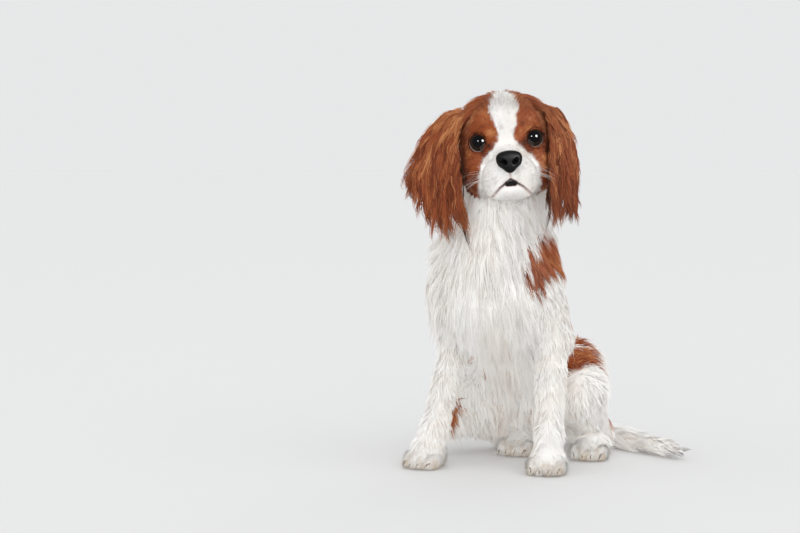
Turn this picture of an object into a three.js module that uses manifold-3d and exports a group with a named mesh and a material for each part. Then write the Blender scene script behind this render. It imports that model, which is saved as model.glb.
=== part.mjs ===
// A sitting cavalier spaniel, life size, in millimetres, +Z up.
// It faces -Y with its head turned to its own left (+X). Paws, rump and tail rest on the floor, Z = 0.
// Each part of the body is a skin drawn over a few smoothly blended masses, and long coat is flat
// tapered locks that follow the skin and then hang.

import * as THREE from "three";
import { mergeVertices } from "three/addons/utils/BufferGeometryUtils.js";
import Module from "manifold-3d";

const wasm = await Module();
wasm.setup();

// Driving sizes
const GAP = 0.3;
const EYE_RADIUS = 11.5;
const EYE_SPREAD = 28.5;
const LID = 2.4;
const TOE_PITCH = 10.5;
const CLAW_LENGTH = 9;
const LOCK_FLATNESS = 0.24;
const LOCK_ROOT = 8;
const LOCK_STEPS = 2;
const FLOOR_CLEAR = 3.4;
const EAR_LENGTH = 92;
const EAR_THICKNESS = 6;
const EAR_ROWS = [
  { down: 0.1, count: 2, length: 50, width: 19 },
  { down: 0.32, count: 3, length: 52, width: 19 },
  { down: 0.56, count: 3, length: 54, width: 20 },
  { down: 0.8, count: 4, length: 50, width: 18 },
  { down: 0.98, count: 3, length: 44, width: 17 },
];
const SEED = 20;

// Where the head sits: the point midway between the eyes, and how the face is turned
const HEAD_AT = [36, -58, 367];
const HEAD_YAW = THREE.MathUtils.degToRad(21.5);
const HEAD_ROLL = THREE.MathUtils.degToRad(-5);
const HEAD_PITCH = THREE.MathUtils.degToRad(2);

const WHITE = { color: 0xf2ede6, roughness: 0.85, metalness: 0 };
const CHESTNUT = { color: 0x9c4f28, roughness: 0.75, metalness: 0 };
const NOSE_LEATHER = { color: 0x241f1e, roughness: 0.45, metalness: 0 };
const EYE_DARK = { color: 0x120c0a, roughness: 0.08, metalness: 0 };
const HORN = { color: 0x4a3a30, roughness: 0.5, metalness: 0 };

const UP = new THREE.Vector3(0, 0, 1);
const BACK = new THREE.Vector3(0, 1, 0);
const DOWN = new THREE.Vector3(0, 0, -1);
const point = (p) => new THREE.Vector3(...p);

const headPose = new THREE.Matrix4()
  .makeTranslation(...HEAD_AT)
  .multiply(new THREE.Matrix4().makeRotationZ(HEAD_YAW))
  .multiply(new THREE.Matrix4().makeRotationX(-HEAD_PITCH))
  .multiply(new THREE.Matrix4().makeRotationY(HEAD_ROLL));
const inHead = (p) => point(p).applyMatrix4(headPose);

// Repeatable random numbers between 0 and 1
let state = SEED;
function random() {
  state = (state * 16807) % 2147483647;
  return state / 2147483647;
}
const vary = (share) => 1 + share * (2 * random() - 1);

// Masses

// Distance to an ellipsoid, true near its surface; turn is about X and then about Z, in degrees
function ellipsoid(at, size, turn = [0, 0]) {
  const [pitch, yaw] = turn.map(THREE.MathUtils.degToRad);
  const toLocal = new THREE.Matrix4()
    .makeTranslation(...at)
    .multiply(new THREE.Matrix4().makeRotationZ(yaw))
    .multiply(new THREE.Matrix4().makeRotationX(pitch))
    .invert();
  const q = new THREE.Vector3();
  const [a, b, c] = size;
  return (p) => {
    q.copy(p).applyMatrix4(toLocal);
    const near = Math.hypot(q.x / a, q.y / b, q.z / c);
    const slope = Math.hypot(q.x / (a * a), q.y / (b * b), q.z / (c * c));
    return slope < 1e-6 ? -Math.min(a, b, c) : (near * (near - 1)) / slope;
  };
}

// Distance to a bar with round ends that narrows from one radius to another
function bar(from, to, radiusFrom, radiusTo) {
  const a = point(from);
  const along = point(to).sub(a);
  const q = new THREE.Vector3();
  return (p) => {
    q.copy(p).sub(a);
    const t = THREE.MathUtils.clamp(q.dot(along) / along.lengthSq(), 0, 1);
    return q.addScaledVector(along, -t).length() - THREE.MathUtils.lerp(radiusFrom, radiusTo, t);
  };
}

function softMin(a, b, width) {
  const h = Math.max(width - Math.abs(a - b), 0) / width;
  return Math.min(a, b) - (h * h * width) / 4;
}

// Masses that flow into one another over a width
function blend(width, ...masses) {
  return (p) => masses.reduce((sum, mass) => softMin(sum, mass(p), width), Infinity);
}

// A field given in the head's frame, read in the dog's
function onHead(field) {
  const toHead = headPose.clone().invert();
  const q = new THREE.Vector3();
  return (p) => field(q.copy(p).applyMatrix4(toHead));
}

function slopeOf(field, p) {
  const step = 0.5;
  const change = (x, y, z) =>
    field(new THREE.Vector3(p.x + x, p.y + y, p.z + z)) - field(new THREE.Vector3(p.x - x, p.y - y, p.z - z));
  return new THREE.Vector3(change(step, 0, 0), change(0, step, 0), change(0, 0, step)).normalize();
}

// Where a ray from inside the masses leaves them
function edgeOf(field, from, direction, grow) {
  const at = new THREE.Vector3();
  const value = (t) => field(at.copy(from).addScaledVector(direction, t)) - grow;
  let inside = 0;
  let outside = 0;
  while (value(outside) < 0 && outside < 400) {
    inside = outside;
    outside += Math.max(-value(outside) * 0.7, 0.6);
  }
  for (let i = 0; i < 24; i += 1) {
    const middle = (inside + outside) / 2;
    if (value(middle) < 0) {
      inside = middle;
    } else {
      outside = middle;
    }
  }
  return from.clone().addScaledVector(direction, (inside + outside) / 2);
}

// Solids

function solid(geometry) {
  const bare = geometry.clone();
  bare.deleteAttribute("normal");
  bare.deleteAttribute("uv");
  const merged = mergeVertices(bare, 1e-4);
  const index = merged.index.array;
  const kept = [];
  for (let i = 0; i < index.length; i += 3) {
    const [a, b, c] = [index[i], index[i + 1], index[i + 2]];
    if (a !== b && b !== c && c !== a) {
      kept.push(a, b, c);
    }
  }
  const vertProperties = merged.attributes.position.array;
  return new wasm.Manifold(new wasm.Mesh({ numProp: 3, vertProperties, triVerts: new Uint32Array(kept) }));
}

function geometryOf(shape) {
  const { vertProperties, triVerts } = shape.getMesh();
  const geometry = new THREE.BufferGeometry();
  geometry.setAttribute("position", new THREE.BufferAttribute(vertProperties, 3));
  geometry.setIndex(new THREE.BufferAttribute(triVerts, 1));
  return geometry;
}

const joined = (shapes) => shapes.reduce((sum, shape) => sum.add(shape));
const largest = (shape) => shape.decompose().sort((a, b) => b.volume() - a.volume())[0];

// The section frame at a share of the way along an axis: its centre, its run, its side and its top
function frameAt(curve, share, top) {
  const run = curve.getTangentAt(share);
  const rise = top.clone().addScaledVector(run, -top.dot(run)).normalize();
  return { centre: curve.getPointAt(share), run, rise, side: run.clone().cross(rise) };
}

// A closed skin over masses, drawn by rays square to an axis inside them and in a fan round its ends
function skin(form, grow = 0) {
  const { field, axis, around, along, cap, top = UP } = form;
  const curve = new THREE.CatmullRomCurve3(axis.map(point));
  const geometry = new THREE.CapsuleGeometry(1, 1, cap, around, along);
  const place = geometry.attributes.position;
  for (let i = 0; i < place.count; i += 1) {
    const height = place.getY(i);
    const share = THREE.MathUtils.clamp(height + 0.5, 0, 1);
    const over = height - THREE.MathUtils.clamp(height, -0.5, 0.5);
    const { centre, run, rise, side } = frameAt(curve, share, top);
    const ray = side.multiplyScalar(place.getX(i));
    ray.addScaledVector(run, over).addScaledVector(rise, place.getZ(i)).normalize();
    place.setXYZ(i, ...edgeOf(field, centre, ray, grow).toArray());
  }
  return solid(geometry);
}

// A ball stretched to three radii, turned about X and then Z
function egg(at, size, [across, down], turn = [0, 0], grow = 0) {
  const geometry = new THREE.SphereGeometry(1, across, down);
  geometry.rotateX(Math.PI / 2);
  geometry.scale(...size.map((r) => r + grow));
  geometry.rotateX(THREE.MathUtils.degToRad(turn[0]));
  geometry.rotateZ(THREE.MathUtils.degToRad(turn[1]));
  geometry.translate(...at);
  return solid(geometry);
}

// The path of a lock: out of the skin, along its lie, and down under its own weight once it is clear
function lockPath(field, root, lie, length, { lift, droop, sink = LOCK_ROOT }) {
  const normal = slopeOf(field, root);
  const heading = lie.clone().addScaledVector(normal, -lie.dot(normal)).normalize();
  const path = [root.clone().addScaledVector(normal, -sink).addScaledVector(heading, -sink)];
  const at = root.clone();
  path.push(at.clone().addScaledVector(normal, lift * 0.3));
  for (let i = 1; i <= LOCK_STEPS; i += 1) {
    heading.addScaledVector(DOWN, droop / LOCK_STEPS).normalize();
    at.addScaledVector(heading, length / LOCK_STEPS);
    const need = lift * (0.6 + (0.8 * i) / LOCK_STEPS) - field(at);
    if (need > 0) {
      at.addScaledVector(slopeOf(field, at), need);
    }
    at.z = Math.max(at.z, FLOOR_CLEAR);
    path.push(at.clone());
  }
  return { path, normal };
}

// A flat lock that tapers to its tip along a path
function lock({ path, normal }, width, grow = 0) {
  const rings = path.length - 1;
  const curve = new THREE.CatmullRomCurve3(path);
  const geometry = new THREE.ConeGeometry(1, 1, 4, rings);
  const place = geometry.attributes.position;
  const flat = new THREE.Vector3();
  for (let i = 0; i < place.count; i += 1) {
    const share = THREE.MathUtils.clamp(place.getY(i) + 0.5, 0, 1);
    const run = curve.getTangent(share);
    const across = run.clone().cross(normal).normalize();
    flat.copy(across).cross(run).normalize();
    const swell = share < 1 ? (0.62 + 1.5 * share * (1 - share)) / (1 - share) : 0;
    const fade = Math.sqrt(Math.max(1 - share ** 2.4, 0));
    const half = (width / 2) * swell * fade + (share < 1 ? grow / (1 - share) : 0);
    const thick = (width / 2) * LOCK_FLATNESS * swell * fade + (share < 1 ? grow / (1 - share) : 0);
    const centre = curve.getPoint(share).addScaledVector(run, share < 1 ? 0 : grow);
    centre.addScaledVector(across, place.getX(i) * half).addScaledVector(flat, place.getZ(i) * thick);
    place.setXYZ(i, ...centre.toArray());
  }
  return solid(geometry);
}

// The solids of a set of locks, each given as its path and its width
const locksOf = (locks, grow = 0) => joined(locks.map(({ run, width }) => lock(run, width, grow)));

// Locks in staggered rows over a form. Rows are shares along its axis, and each runs over a range of angles
// round it, where 0 degrees is its top and 90 its side.
function coat(form, rows, { lie, body = form.field, droop = 0.6, lift = 3 }) {
  const curve = new THREE.CatmullRomCurve3(form.axis.map(point));
  const locks = [];
  rows.forEach(({ share, from, to, count, length, width }, row) => {
    for (let i = 0; i < count; i += 1) {
      const step = (to - from) / count;
      const angle = THREE.MathUtils.degToRad(from + step * (i + (row % 2 ? 0.75 : 0.25)));
      const { centre, run, rise, side } = frameAt(curve, share, form.top ?? UP);
      const ray = rise.multiplyScalar(Math.cos(angle)).addScaledVector(side, Math.sin(angle));
      const root = edgeOf(form.field, centre, ray, 0);
      const path = lockPath(body, root, lie(run, ray), length * vary(0.12), { lift, droop });
      locks.push({ run: path, width: width * vary(0.15) });
    }
  });
  return locks;
}

// A form with its locks fused on
const coated = (core, locks, grow = 0) => core.add(locksOf(locks, grow));

// The floor, as a slab that trims whatever would sink into it
const floor = solid(new THREE.BoxGeometry(900, 900, 200).translate(0, 0, -100));

// Head, in its own frame: X to its left, Y to the back, Z up, the origin midway between the eyes
const head = {
  field: onHead(
    blend(
      11,
      ellipsoid([0, 42, 4], [48.5, 54, 50]),
      ellipsoid([0, 12, 18], [34, 20, 26]),
      ellipsoid([-23, 6, 17], [12, 9, 7]),
      ellipsoid([23, 6, 17], [12, 9, 7]),
      ellipsoid([-30, 28, -28], [20, 34, 28]),
      ellipsoid([30, 28, -28], [20, 34, 28]),
      ellipsoid([0, -14, -31], [23, 28, 18]),
      ellipsoid([-15.5, -21, -42], [15.5, 20, 19.5]),
      ellipsoid([15.5, -21, -42], [15.5, 20, 19.5]),
      bar([0, 2, -12], [0, -34, -19], 12, 8),
      ellipsoid([0, -19, -54], [18, 20, 11]),
      ellipsoid([0, 14, -46], [24, 34, 19]),
    ),
  ),
  axis: [[0, -26, -34], [0, 0, -22], [0, 30, -8], [0, 66, 0]].map((p) => inHead(p).toArray()),
  around: 20,
  along: 11,
  cap: 4,
};

const eyeAt = (side) => inHead([side * EYE_SPREAD, 4.5, 0]).toArray();

function eyeball(side, grow = 0) {
  return egg(eyeAt(side), [EYE_RADIUS, EYE_RADIUS, EYE_RADIUS], [12, 9], [0, 0], grow);
}

// The rim of the lids, an almond ring round the eye that looks out and a little to the side
function lids(side) {
  const geometry = new THREE.TorusGeometry(EYE_RADIUS * 0.82, LID, 5, 12);
  geometry.rotateX(Math.PI / 2);
  geometry.scale(1.04, 1, 0.98);
  geometry.rotateZ(side * 0.34);
  geometry.translate(side * (EYE_SPREAD + 2), -1.8, 0);
  return solid(geometry.applyMatrix4(headPose));
}

// The line of the mouth, a narrow groove that drops from under the nose to the corners
function mouthGroove() {
  const corners = [[-29, 4, -54], [-27, -12, -57], [-15, -34, -52], [0, -42, -44]];
  const line = [...corners, ...corners.slice(0, 3).reverse().map(([x, y, z]) => [-x, y, z])];
  const route = new THREE.CatmullRomCurve3(line.map(point));
  const section = new THREE.Shape([[-7, 0], [0, -1.1], [4, 0], [0, 1.1]].map(([x, y]) => new THREE.Vector2(x, y)));
  const geometry = new THREE.ExtrudeGeometry(section, { steps: 16, extrudePath: route, bevelEnabled: false });
  return solid(geometry.applyMatrix4(headPose));
}

function headSolid(grow = 0) {
  const whole = joined([skin(head, grow), ...[-1, 1].map(lids)]);
  return grow ? whole : whole.subtract(mouthGroove());
}

// Nose: a rounded pad with two comma-shaped nostrils
const nosePad = (grow = 0) =>
  skin(
    {
      field: onHead(
        blend(
          5,
          ellipsoid([0, -41, -19], [13.5, 8, 7]),
          ellipsoid([0, -43.5, -27], [8, 6, 9]),
          ellipsoid([-8.5, -42, -23], [5.5, 6.5, 6.5]),
          ellipsoid([8.5, -42, -23], [5.5, 6.5, 6.5]),
        ),
      ),
      axis: [[-4, -42, -22], [4, -42, -22]].map((p) => inHead(p).toArray()),
      around: 12,
      along: 3,
      cap: 3,
    },
    grow,
  );

function nostril(side) {
  const hole = new THREE.CapsuleGeometry(2.1, 4.5, 2, 7);
  hole.rotateZ(side * 0.9);
  hole.rotateX(0.5);
  hole.translate(side * 6.4, -49.5, -22.6);
  return solid(hole.applyMatrix4(headPose));
}

// Body
const torso = {
  field: blend(
    26,
    ellipsoid([0, 24, 196], [60, 78, 60], [-42, 0]),
    ellipsoid([0, -12, 214], [48, 34, 50]),
    ellipsoid([-38, 16, 220], [29, 36, 52]),
    ellipsoid([38, 16, 220], [29, 36, 52]),
    ellipsoid([0, 42, 254], [42, 42, 32]),
    ellipsoid([0, 96, 132], [52, 64, 50], [-40, 0]),
    ellipsoid([0, 148, 78], [56, 50, 58], [-30, 0]),
  ),
  axis: [[0, 2, 226], [0, 30, 190], [0, 80, 142], [0, 128, 98], [0, 156, 66]],
  around: 18,
  along: 9,
  cap: 4,
};

const neck = {
  field: blend(
    20,
    bar([2, 22, 258], [12, 4, 334], 54, 42),
    bar([4, -14, 250], [18, -20, 316], 46, 28),
  ),
  axis: [[3, 8, 262], [8, 0, 296], [14, -4, 332]],
  around: 16,
  along: 5,
  cap: 3,
  top: BACK,
};

// Legs: where each joint lies, and the radius there
const FORELEGS = {
  left: {
    shoulder: [48, 4, 205],
    elbow: [60, 26, 148],
    wrist: [63, 10, 44],
    paw: [63, 4],
    toe: 10,
  },
  right: {
    shoulder: [-46, 4, 205],
    elbow: [-52, 26, 148],
    wrist: [-70, 2, 44],
    paw: [-75, -12],
    toe: -12,
  },
};
const HINDLEGS = {
  left: {
    hip: [44, 136, 92],
    knee: [76, 88, 82],
    hock: [76, 150, 24],
    paw: [78, 114],
    toe: 8,
  },
  right: {
    hip: [-42, 138, 82],
    knee: [-82, 92, 48],
    hock: [-40, 146, 20],
    paw: [-9, 110],
    toe: -2,
  },
};

function forelegForms({ shoulder, elbow, wrist, paw }) {
  const low = [paw[0], paw[1] + 4, 24];
  return {
    upper: {
      field: blend(14, bar(shoulder, elbow, 32, 23), ellipsoid([elbow[0], elbow[1] + 4, elbow[2] + 4], [17, 20, 18])),
      axis: [shoulder, elbow],
      around: 12,
      along: 4,
      cap: 3,
      top: BACK,
    },
    lower: {
      field: blend(10, bar(elbow, wrist, 19, 13.5), bar(wrist, low, 14, 16)),
      axis: [[elbow[0], elbow[1], elbow[2] - 4], wrist, [low[0], low[1], low[2] + 4]],
      around: 10,
      along: 7,
      cap: 2,
      top: BACK,
    },
  };
}

function hindlegForms({ hip, knee, hock, paw }) {
  return {
    thigh: {
      field: blend(22, bar(hip, knee, 48, 27)),
      axis: [hip, knee],
      around: 14,
      along: 5,
      cap: 3,
    },
    shank: {
      field: blend(12, bar(knee, hock, 25, 15), bar(hock, [paw[0], paw[1] + 14, 15], 15, 15)),
      axis: [knee, hock],
      around: 10,
      along: 5,
      cap: 3,
      top: new THREE.Vector3(1, 0, 0),
    },
  };
}

// A paw: a rounded pad with four arched toes, pointing forward and turned by an angle from above
function pawSolid([x, y], turn, grow = 0) {
  const toWorld = new THREE.Matrix4()
    .makeTranslation(x, y, 0)
    .multiply(new THREE.Matrix4().makeRotationZ(THREE.MathUtils.degToRad(turn)));
  const pad = egg([0, 6, 11], [19, 21, 16], [10, 5], [0, 0], grow);
  const toes = [-1.5, -0.5, 0.5, 1.5].map((place) =>
    egg([place * TOE_PITCH, -13 + 3 * Math.abs(place), 8.5], [6.8, 14, 10.5], [6, 4], [10, -7 * place], grow),
  );
  return joined([pad, ...toes]).transform([...toWorld.elements]);
}

// One claw, set in the front of its toe
function claw([x, y], turn, place) {
  const geometry = new THREE.ConeGeometry(2.1, CLAW_LENGTH, 5, 1);
  geometry.rotateX(Math.PI / 2 + 0.5);
  geometry.translate(0, -CLAW_LENGTH / 2, 0);
  geometry.rotateZ(THREE.MathUtils.degToRad(-7 * place));
  geometry.translate(place * TOE_PITCH, -23 + 3 * Math.abs(place), 7.5);
  geometry.rotateZ(THREE.MathUtils.degToRad(turn));
  geometry.translate(x, y, 0);
  return solid(geometry);
}

// Tail: along the floor round the left side
const TAIL = [[2, 178, 42], [26, 204, 22], [62, 208, 15], [104, 190, 13], [146, 166, 12], [178, 148, 10]];
const tail = {
  field: blend(
    12,
    ...TAIL.slice(1).map((end, i) => bar(TAIL[i], end, 15 - i * 2, 13 - i * 2)),
  ),
  axis: TAIL,
  around: 8,
  along: 12,
  cap: 2,
};

// Ears: a thin cupped leather that hangs from the side of the skull, in the head's frame.
// Each row is a place down the ear: its centre, and half the width of its leather.
const EARS = {
  left: {
    rows: [[36, 42, 40, 13], [51, 40, 27, 20], [60, 35, -3, 26], [60, 30, -34, 27], [57, 28, -60, 20]],
    turn: 60,
    cup: 9,
    side: 1,
  },
  right: {
    rows: [[-37, 42, 40, 14], [-55, 38, 27, 20], [-73, 32, -1, 26], [-80, 26, -32, 30], [-77, 24, -60, 21]],
    turn: 142,
    cup: 8,
    side: -1,
  },
};

// A point of the ear: a share of the way down it, one across it from front to back, and one through it.
// Past the end of the leather it carries straight on.
function earPoint({ rows, turn, cup, side }, down, across, through) {
  const centre = new THREE.CatmullRomCurve3(rows.map(([x, y, z]) => new THREE.Vector3(x, y, z)));
  const widths = new THREE.CatmullRomCurve3(rows.map(([, , , w], i) => new THREE.Vector3(i, w, 0)));
  const on = Math.min(down, 1);
  const run = centre.getTangent(on);
  const angle = THREE.MathUtils.degToRad(turn);
  const wide = new THREE.Vector3(Math.cos(angle), Math.sin(angle), 0);
  wide.addScaledVector(run, -wide.dot(run)).normalize();
  const out = run.clone().cross(wide).multiplyScalar(side).normalize();
  const half = widths.getPoint(on).y;
  const at = centre.getPoint(on).addScaledVector(wide, across * half);
  at.addScaledVector(DOWN, (down - on) * EAR_LENGTH);
  return at.addScaledVector(out, through + cup * (1 - Math.min(across * across, 1)) * on);
}

function earLeather(ear, grow = 0) {
  const geometry = new THREE.CapsuleGeometry(1, 1, 3, 12, 7);
  const place = geometry.attributes.position;
  const thick = EAR_THICKNESS / 2 + grow;
  for (let i = 0; i < place.count; i += 1) {
    const height = place.getY(i);
    const over = height - THREE.MathUtils.clamp(height, -0.5, 0.5);
    const down = THREE.MathUtils.clamp(height + 0.5, 0, 1);
    const at = earPoint(ear, down, place.getX(i), place.getZ(i) * thick);
    at.z -= over * (down > 0.5 ? 10 : 4);
    place.setXYZ(i, ...at.toArray());
  }
  geometry.applyMatrix4(headPose);
  const shape = solid(geometry);
  return shape.volume() > 0 ? shape : solid(flipped(geometry));
}

// Locks down the outer face of an ear and round its edges, fanning out and waving as they hang
function earLocks(ear) {
  const locks = [];
  EAR_ROWS.forEach(({ down, count, length, width }, row) => {
    for (let i = 0; i < count; i += 1) {
      const across = ((i + 0.5) / count) * 2 - 1;
      const wave = (0.05 + 0.05 * random()) * (i % 2 ? 1 : -1);
      const reach = (length * vary(0.12)) / EAR_LENGTH;
      const places = [-0.06, 0.1, 0.55, 1].map((share, step) => {
        const fan = across * (0.86 + 0.42 * share) + wave * Math.sin(share * 5 + row);
        const through = step === 0 ? 0 : EAR_THICKNESS / 2 + 1.5 + 3 * share * (1 - share);
        return inHead(earPoint(ear, down + reach * share, fan, through).toArray());
      });
      const normal = inHead([ear.side, -1, 0]).sub(inHead([0, 0, 0])).normalize();
      locks.push({ run: { path: places, normal }, width: width * vary(0.15) });
    }
  });
  return locks;
}

// The same surface with its faces turned round
function flipped(geometry) {
  const turned = geometry.clone();
  const index = turned.index.array;
  for (let i = 0; i < index.length; i += 3) {
    [index[i + 1], index[i + 2]] = [index[i + 2], index[i + 1]];
  }
  return turned;
}

// Rows of feathering down the backs of the forelegs, round the elbows, over the thighs and along the tail
const FOREARM_ROWS = [
  { share: 0.12, from: -40, to: 40, count: 2, length: 42, width: 15 },
  { share: 0.36, from: -40, to: 40, count: 2, length: 38, width: 14 },
  { share: 0.58, from: -35, to: 35, count: 2, length: 32, width: 12 },
];
const ELBOW_ROWS = [{ share: 0.75, from: -50, to: 50, count: 2, length: 40, width: 17 }];
const THIGH_ROWS = [
  { share: 0.1, from: -110, to: 110, count: 3, length: 42, width: 21 },
  { share: 0.55, from: -110, to: 110, count: 3, length: 38, width: 20 },
];
const TAIL_ROWS = [0.2, 0.4, 0.6, 0.78, 0.94].map((share) => ({
  share,
  from: -110,
  to: 110,
  count: 2,
  length: 44 - 8 * share,
  width: 15,
}));

// The part list: each node's solid, cut clear of those before it
const parts = [];
function add(name, shape, finish, { grown = null, trim = true } = {}) {
  const before = parts.filter((part) => part.grown);
  const cut = trim ? before.reduce((sum, part) => sum.subtract(part.grown), shape) : shape;
  parts.push({ name, shape: largest(cut.subtract(floor)), finish, grown });
}

for (const [name, side] of [["left", 1], ["right", -1]]) {
  add(`eye_${name}`, eyeball(side), EYE_DARK, { grown: eyeball(side, GAP) });
}
add("nose", nosePad().subtract(nostril(-1)).subtract(nostril(1)), NOSE_LEATHER, { grown: nosePad(GAP) });
add("head", headSolid(), WHITE, { grown: headSolid(GAP) });
for (const name of ["left", "right"]) {
  const locks = earLocks(EARS[name]);
  const [shape, grown] = [0, GAP].map((grow) => coated(earLeather(EARS[name], grow), locks, grow));
  add(`ear_${name}`, shape, CHESTNUT, { grown });
}

// The whole of the body, which hanging coat lies over
const limbs = [FORELEGS.left, FORELEGS.right].map(forelegForms).flatMap(({ upper, lower }) => [upper, lower]);
limbs.push(...[HINDLEGS.left, HINDLEGS.right].map(hindlegForms).flatMap(({ thigh, shank }) => [thigh, shank]));
const body = blend(8, head.field, neck.field, torso.field, ...limbs.map(({ field }) => field));

const ruff = coat(
  neck,
  [
    { share: 0.92, from: 80, to: 280, count: 5, length: 48, width: 24 },
    { share: 0.5, from: 0, to: 360, count: 8, length: 54, width: 28 },
    { share: 0.1, from: 0, to: 360, count: 9, length: 60, width: 30 },
  ],
  { lie: (run, ray) => ray.clone().multiplyScalar(0.2).add(DOWN), body, lift: 5 },
);
add("neck", coated(skin(neck), ruff), WHITE, { grown: coated(skin(neck, GAP), ruff, GAP) });

const chest = coat(
  torso,
  [
    { share: 0.0, from: 118, to: 242, count: 6, length: 62, width: 23 },
    { share: 0.16, from: 110, to: 250, count: 6, length: 58, width: 22 },
    { share: 0.36, from: 110, to: 250, count: 5, length: 46, width: 19 },
    { share: 0.6, from: 120, to: 240, count: 3, length: 34, width: 17 },
  ],
  { lie: () => DOWN, body, lift: 3.5 },
);
add("torso", coated(skin(torso), chest), WHITE, { grown: coated(skin(torso, GAP), chest, GAP) });

// A leg piece and its feathering
function addFeathered(name, form, rows, lie) {
  const locks = coat(form, rows, { lie, body, lift: 2.5 });
  add(name, coated(skin(form), locks), WHITE, { grown: coated(skin(form, GAP), locks, GAP) });
}

for (const name of ["left", "right"]) {
  const { paw, toe } = FORELEGS[name];
  const { upper, lower } = forelegForms(FORELEGS[name]);
  add(`forepaw_${name}`, pawSolid(paw, toe), WHITE, { grown: pawSolid(paw, toe, GAP) });
  addFeathered(`forearm_${name}`, lower, FOREARM_ROWS, (run) => run.clone().add(new THREE.Vector3(0, 0.45, 0)));
  addFeathered(`upper_arm_${name}`, upper, ELBOW_ROWS, (run) => run.clone().add(new THREE.Vector3(0, 0.3, -0.5)));
}
for (const name of ["left", "right"]) {
  const { paw, toe } = HINDLEGS[name];
  const { thigh, shank } = hindlegForms(HINDLEGS[name]);
  add(`hindpaw_${name}`, pawSolid(paw, toe), WHITE, { grown: pawSolid(paw, toe, GAP) });
  add(`shank_${name}`, skin(shank), WHITE, { grown: skin(shank, GAP) });
  addFeathered(`thigh_${name}`, thigh, THIGH_ROWS, () => new THREE.Vector3(0, 0.5, -1));
}
const feather = coat(tail, TAIL_ROWS, { lie: (run, ray) => run.clone().addScaledVector(ray, 0.45), lift: 2 });
add("tail", coated(skin(tail), feather), WHITE, { grown: coated(skin(tail, GAP), feather, GAP) });
for (const [end, legs] of [["fore", FORELEGS], ["hind", HINDLEGS]]) {
  for (const name of ["left", "right"]) {
    [-1.5, -0.5, 0.5, 1.5].forEach((place, i) => {
      add(`claw_${end}_${name}_${i + 1}`, claw(legs[name].paw, legs[name].toe, place), HORN);
    });
  }
}

const dog = new THREE.Group();
for (const { name, shape, finish } of parts) {
  const mesh = new THREE.Mesh(geometryOf(shape), new THREE.MeshStandardMaterial(finish));
  mesh.name = name;
  dog.add(mesh);
}

// The origin is on the floor under the middle of the whole dog
const extent = new THREE.Box3().setFromObject(dog);
const middle = extent.getCenter(new THREE.Vector3());
dog.position.set(-middle.x, -middle.y, 0);

export default dog;
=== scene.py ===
"""A sitting cavalier spaniel: its skin, eyes, nose, claws and coat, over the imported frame.

Body masses are in millimetres in the dog's own frame, as the solids have them: X to its left, Y to its
back, Z up from the floor. Meshes are placed in metres.
"""

from math import radians

import bpy
import numpy as np
from mathutils import Matrix, Vector


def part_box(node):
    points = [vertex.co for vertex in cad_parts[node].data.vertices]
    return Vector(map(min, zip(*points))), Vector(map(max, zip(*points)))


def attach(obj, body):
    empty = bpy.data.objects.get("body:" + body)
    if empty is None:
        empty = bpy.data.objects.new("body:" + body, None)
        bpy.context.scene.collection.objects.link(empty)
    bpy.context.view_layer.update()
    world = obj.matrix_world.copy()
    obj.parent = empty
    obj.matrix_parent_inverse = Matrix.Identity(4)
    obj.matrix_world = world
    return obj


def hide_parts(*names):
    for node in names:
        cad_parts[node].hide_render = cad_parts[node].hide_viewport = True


bl_info = {
    "name": "Sitting spaniel",
    "version": (1, 0, 0),
    "blender": (4, 5, 0),
    "location": "View3D > Sidebar > Spaniel",
    "description": "Builds a still, life-size sitting spaniel with a long coat",
    "category": "Add Mesh",
}

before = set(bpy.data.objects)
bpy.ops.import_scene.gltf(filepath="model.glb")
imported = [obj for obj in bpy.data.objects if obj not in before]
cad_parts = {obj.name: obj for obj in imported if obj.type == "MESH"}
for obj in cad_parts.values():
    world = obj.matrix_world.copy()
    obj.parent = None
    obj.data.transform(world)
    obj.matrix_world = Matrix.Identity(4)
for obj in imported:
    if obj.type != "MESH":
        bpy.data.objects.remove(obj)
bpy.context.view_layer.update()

MM = 0.001
BODY = "root"
SEED = 7
DOWN = np.array([0.0, 0.0, -1.0])

HEAD_AT = (36, -58, 367)
HEAD_YAW = radians(21.5)
HEAD_ROLL = radians(-5)
HEAD_PITCH = radians(2)
HEAD_BLEND = 11
NOSE_BLEND = 5
EYE_RADIUS = 11.5
EYE_SPREAD = 28.5
EYE_DEPTH = 4.5
LID_SWING = 0.34
LID_AHEAD = 5.6
LID_RADIUS = 9.1
LID_NARROW = 0.94
LID_THICKNESS = 1.6
EAR_LENGTH = 92
EAR_THICKNESS = 6
TOE_PITCH = 10.5
JOIN_WIDTH = 12

# How deep the skin lies under the surface of the solids, for the coat that covers it
SKIN_DEPTH = 1.2

# The unwrap, and the values that vertices keep for the materials. The marks are the chestnut share, the
# shade, the share along the hair and the stain. The bare values are how dark and how pink the skin is.
UNWRAP = "OFBake"
MARKS = "coat"
BARE = "bare"
GAZE = "gaze"
# How far inside a nostril a vertex is, for the nose's painted shade there
HOLLOW = "hollow"

# Half the side of a tuft's patch on the unwrap, and how much of a tuft's own roundness is in its shading
PATCH = 0.0015
SOFTNESS = 0.45

LOCK_STEPS = 3
EAR_CLUMPS = 270
EAR_STRANDS = 14
EAR_STEPS = 6
WHISKERS = 28

# How bright the surround is as light, as the backdrop and in what is glossy
SURROUND = 0.76
BACKDROP = 0.805
REFLECTED = 0.14

# Soft suns: name, turn from the dog's front and height in degrees, share of the key light, and softness
# in degrees
SUNS = (
    ("front", 20, 12, 0.8, 45),
    ("key", 50, 52, 0.9, 60),
    ("fill", -35, 34, 0.45, 70),
    ("rim", 190, 40, 0.5, 60),
)

# Discs that only show in what is glossy: name, turn and height in degrees, and size in metres
SOFTBOXES = (("softbox", 62, 24, 0.9), ("small_softbox", 2, 22, 0.4))
SOFTBOX_AWAY = 2.0
SOFTBOX_POWER = 60

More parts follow.
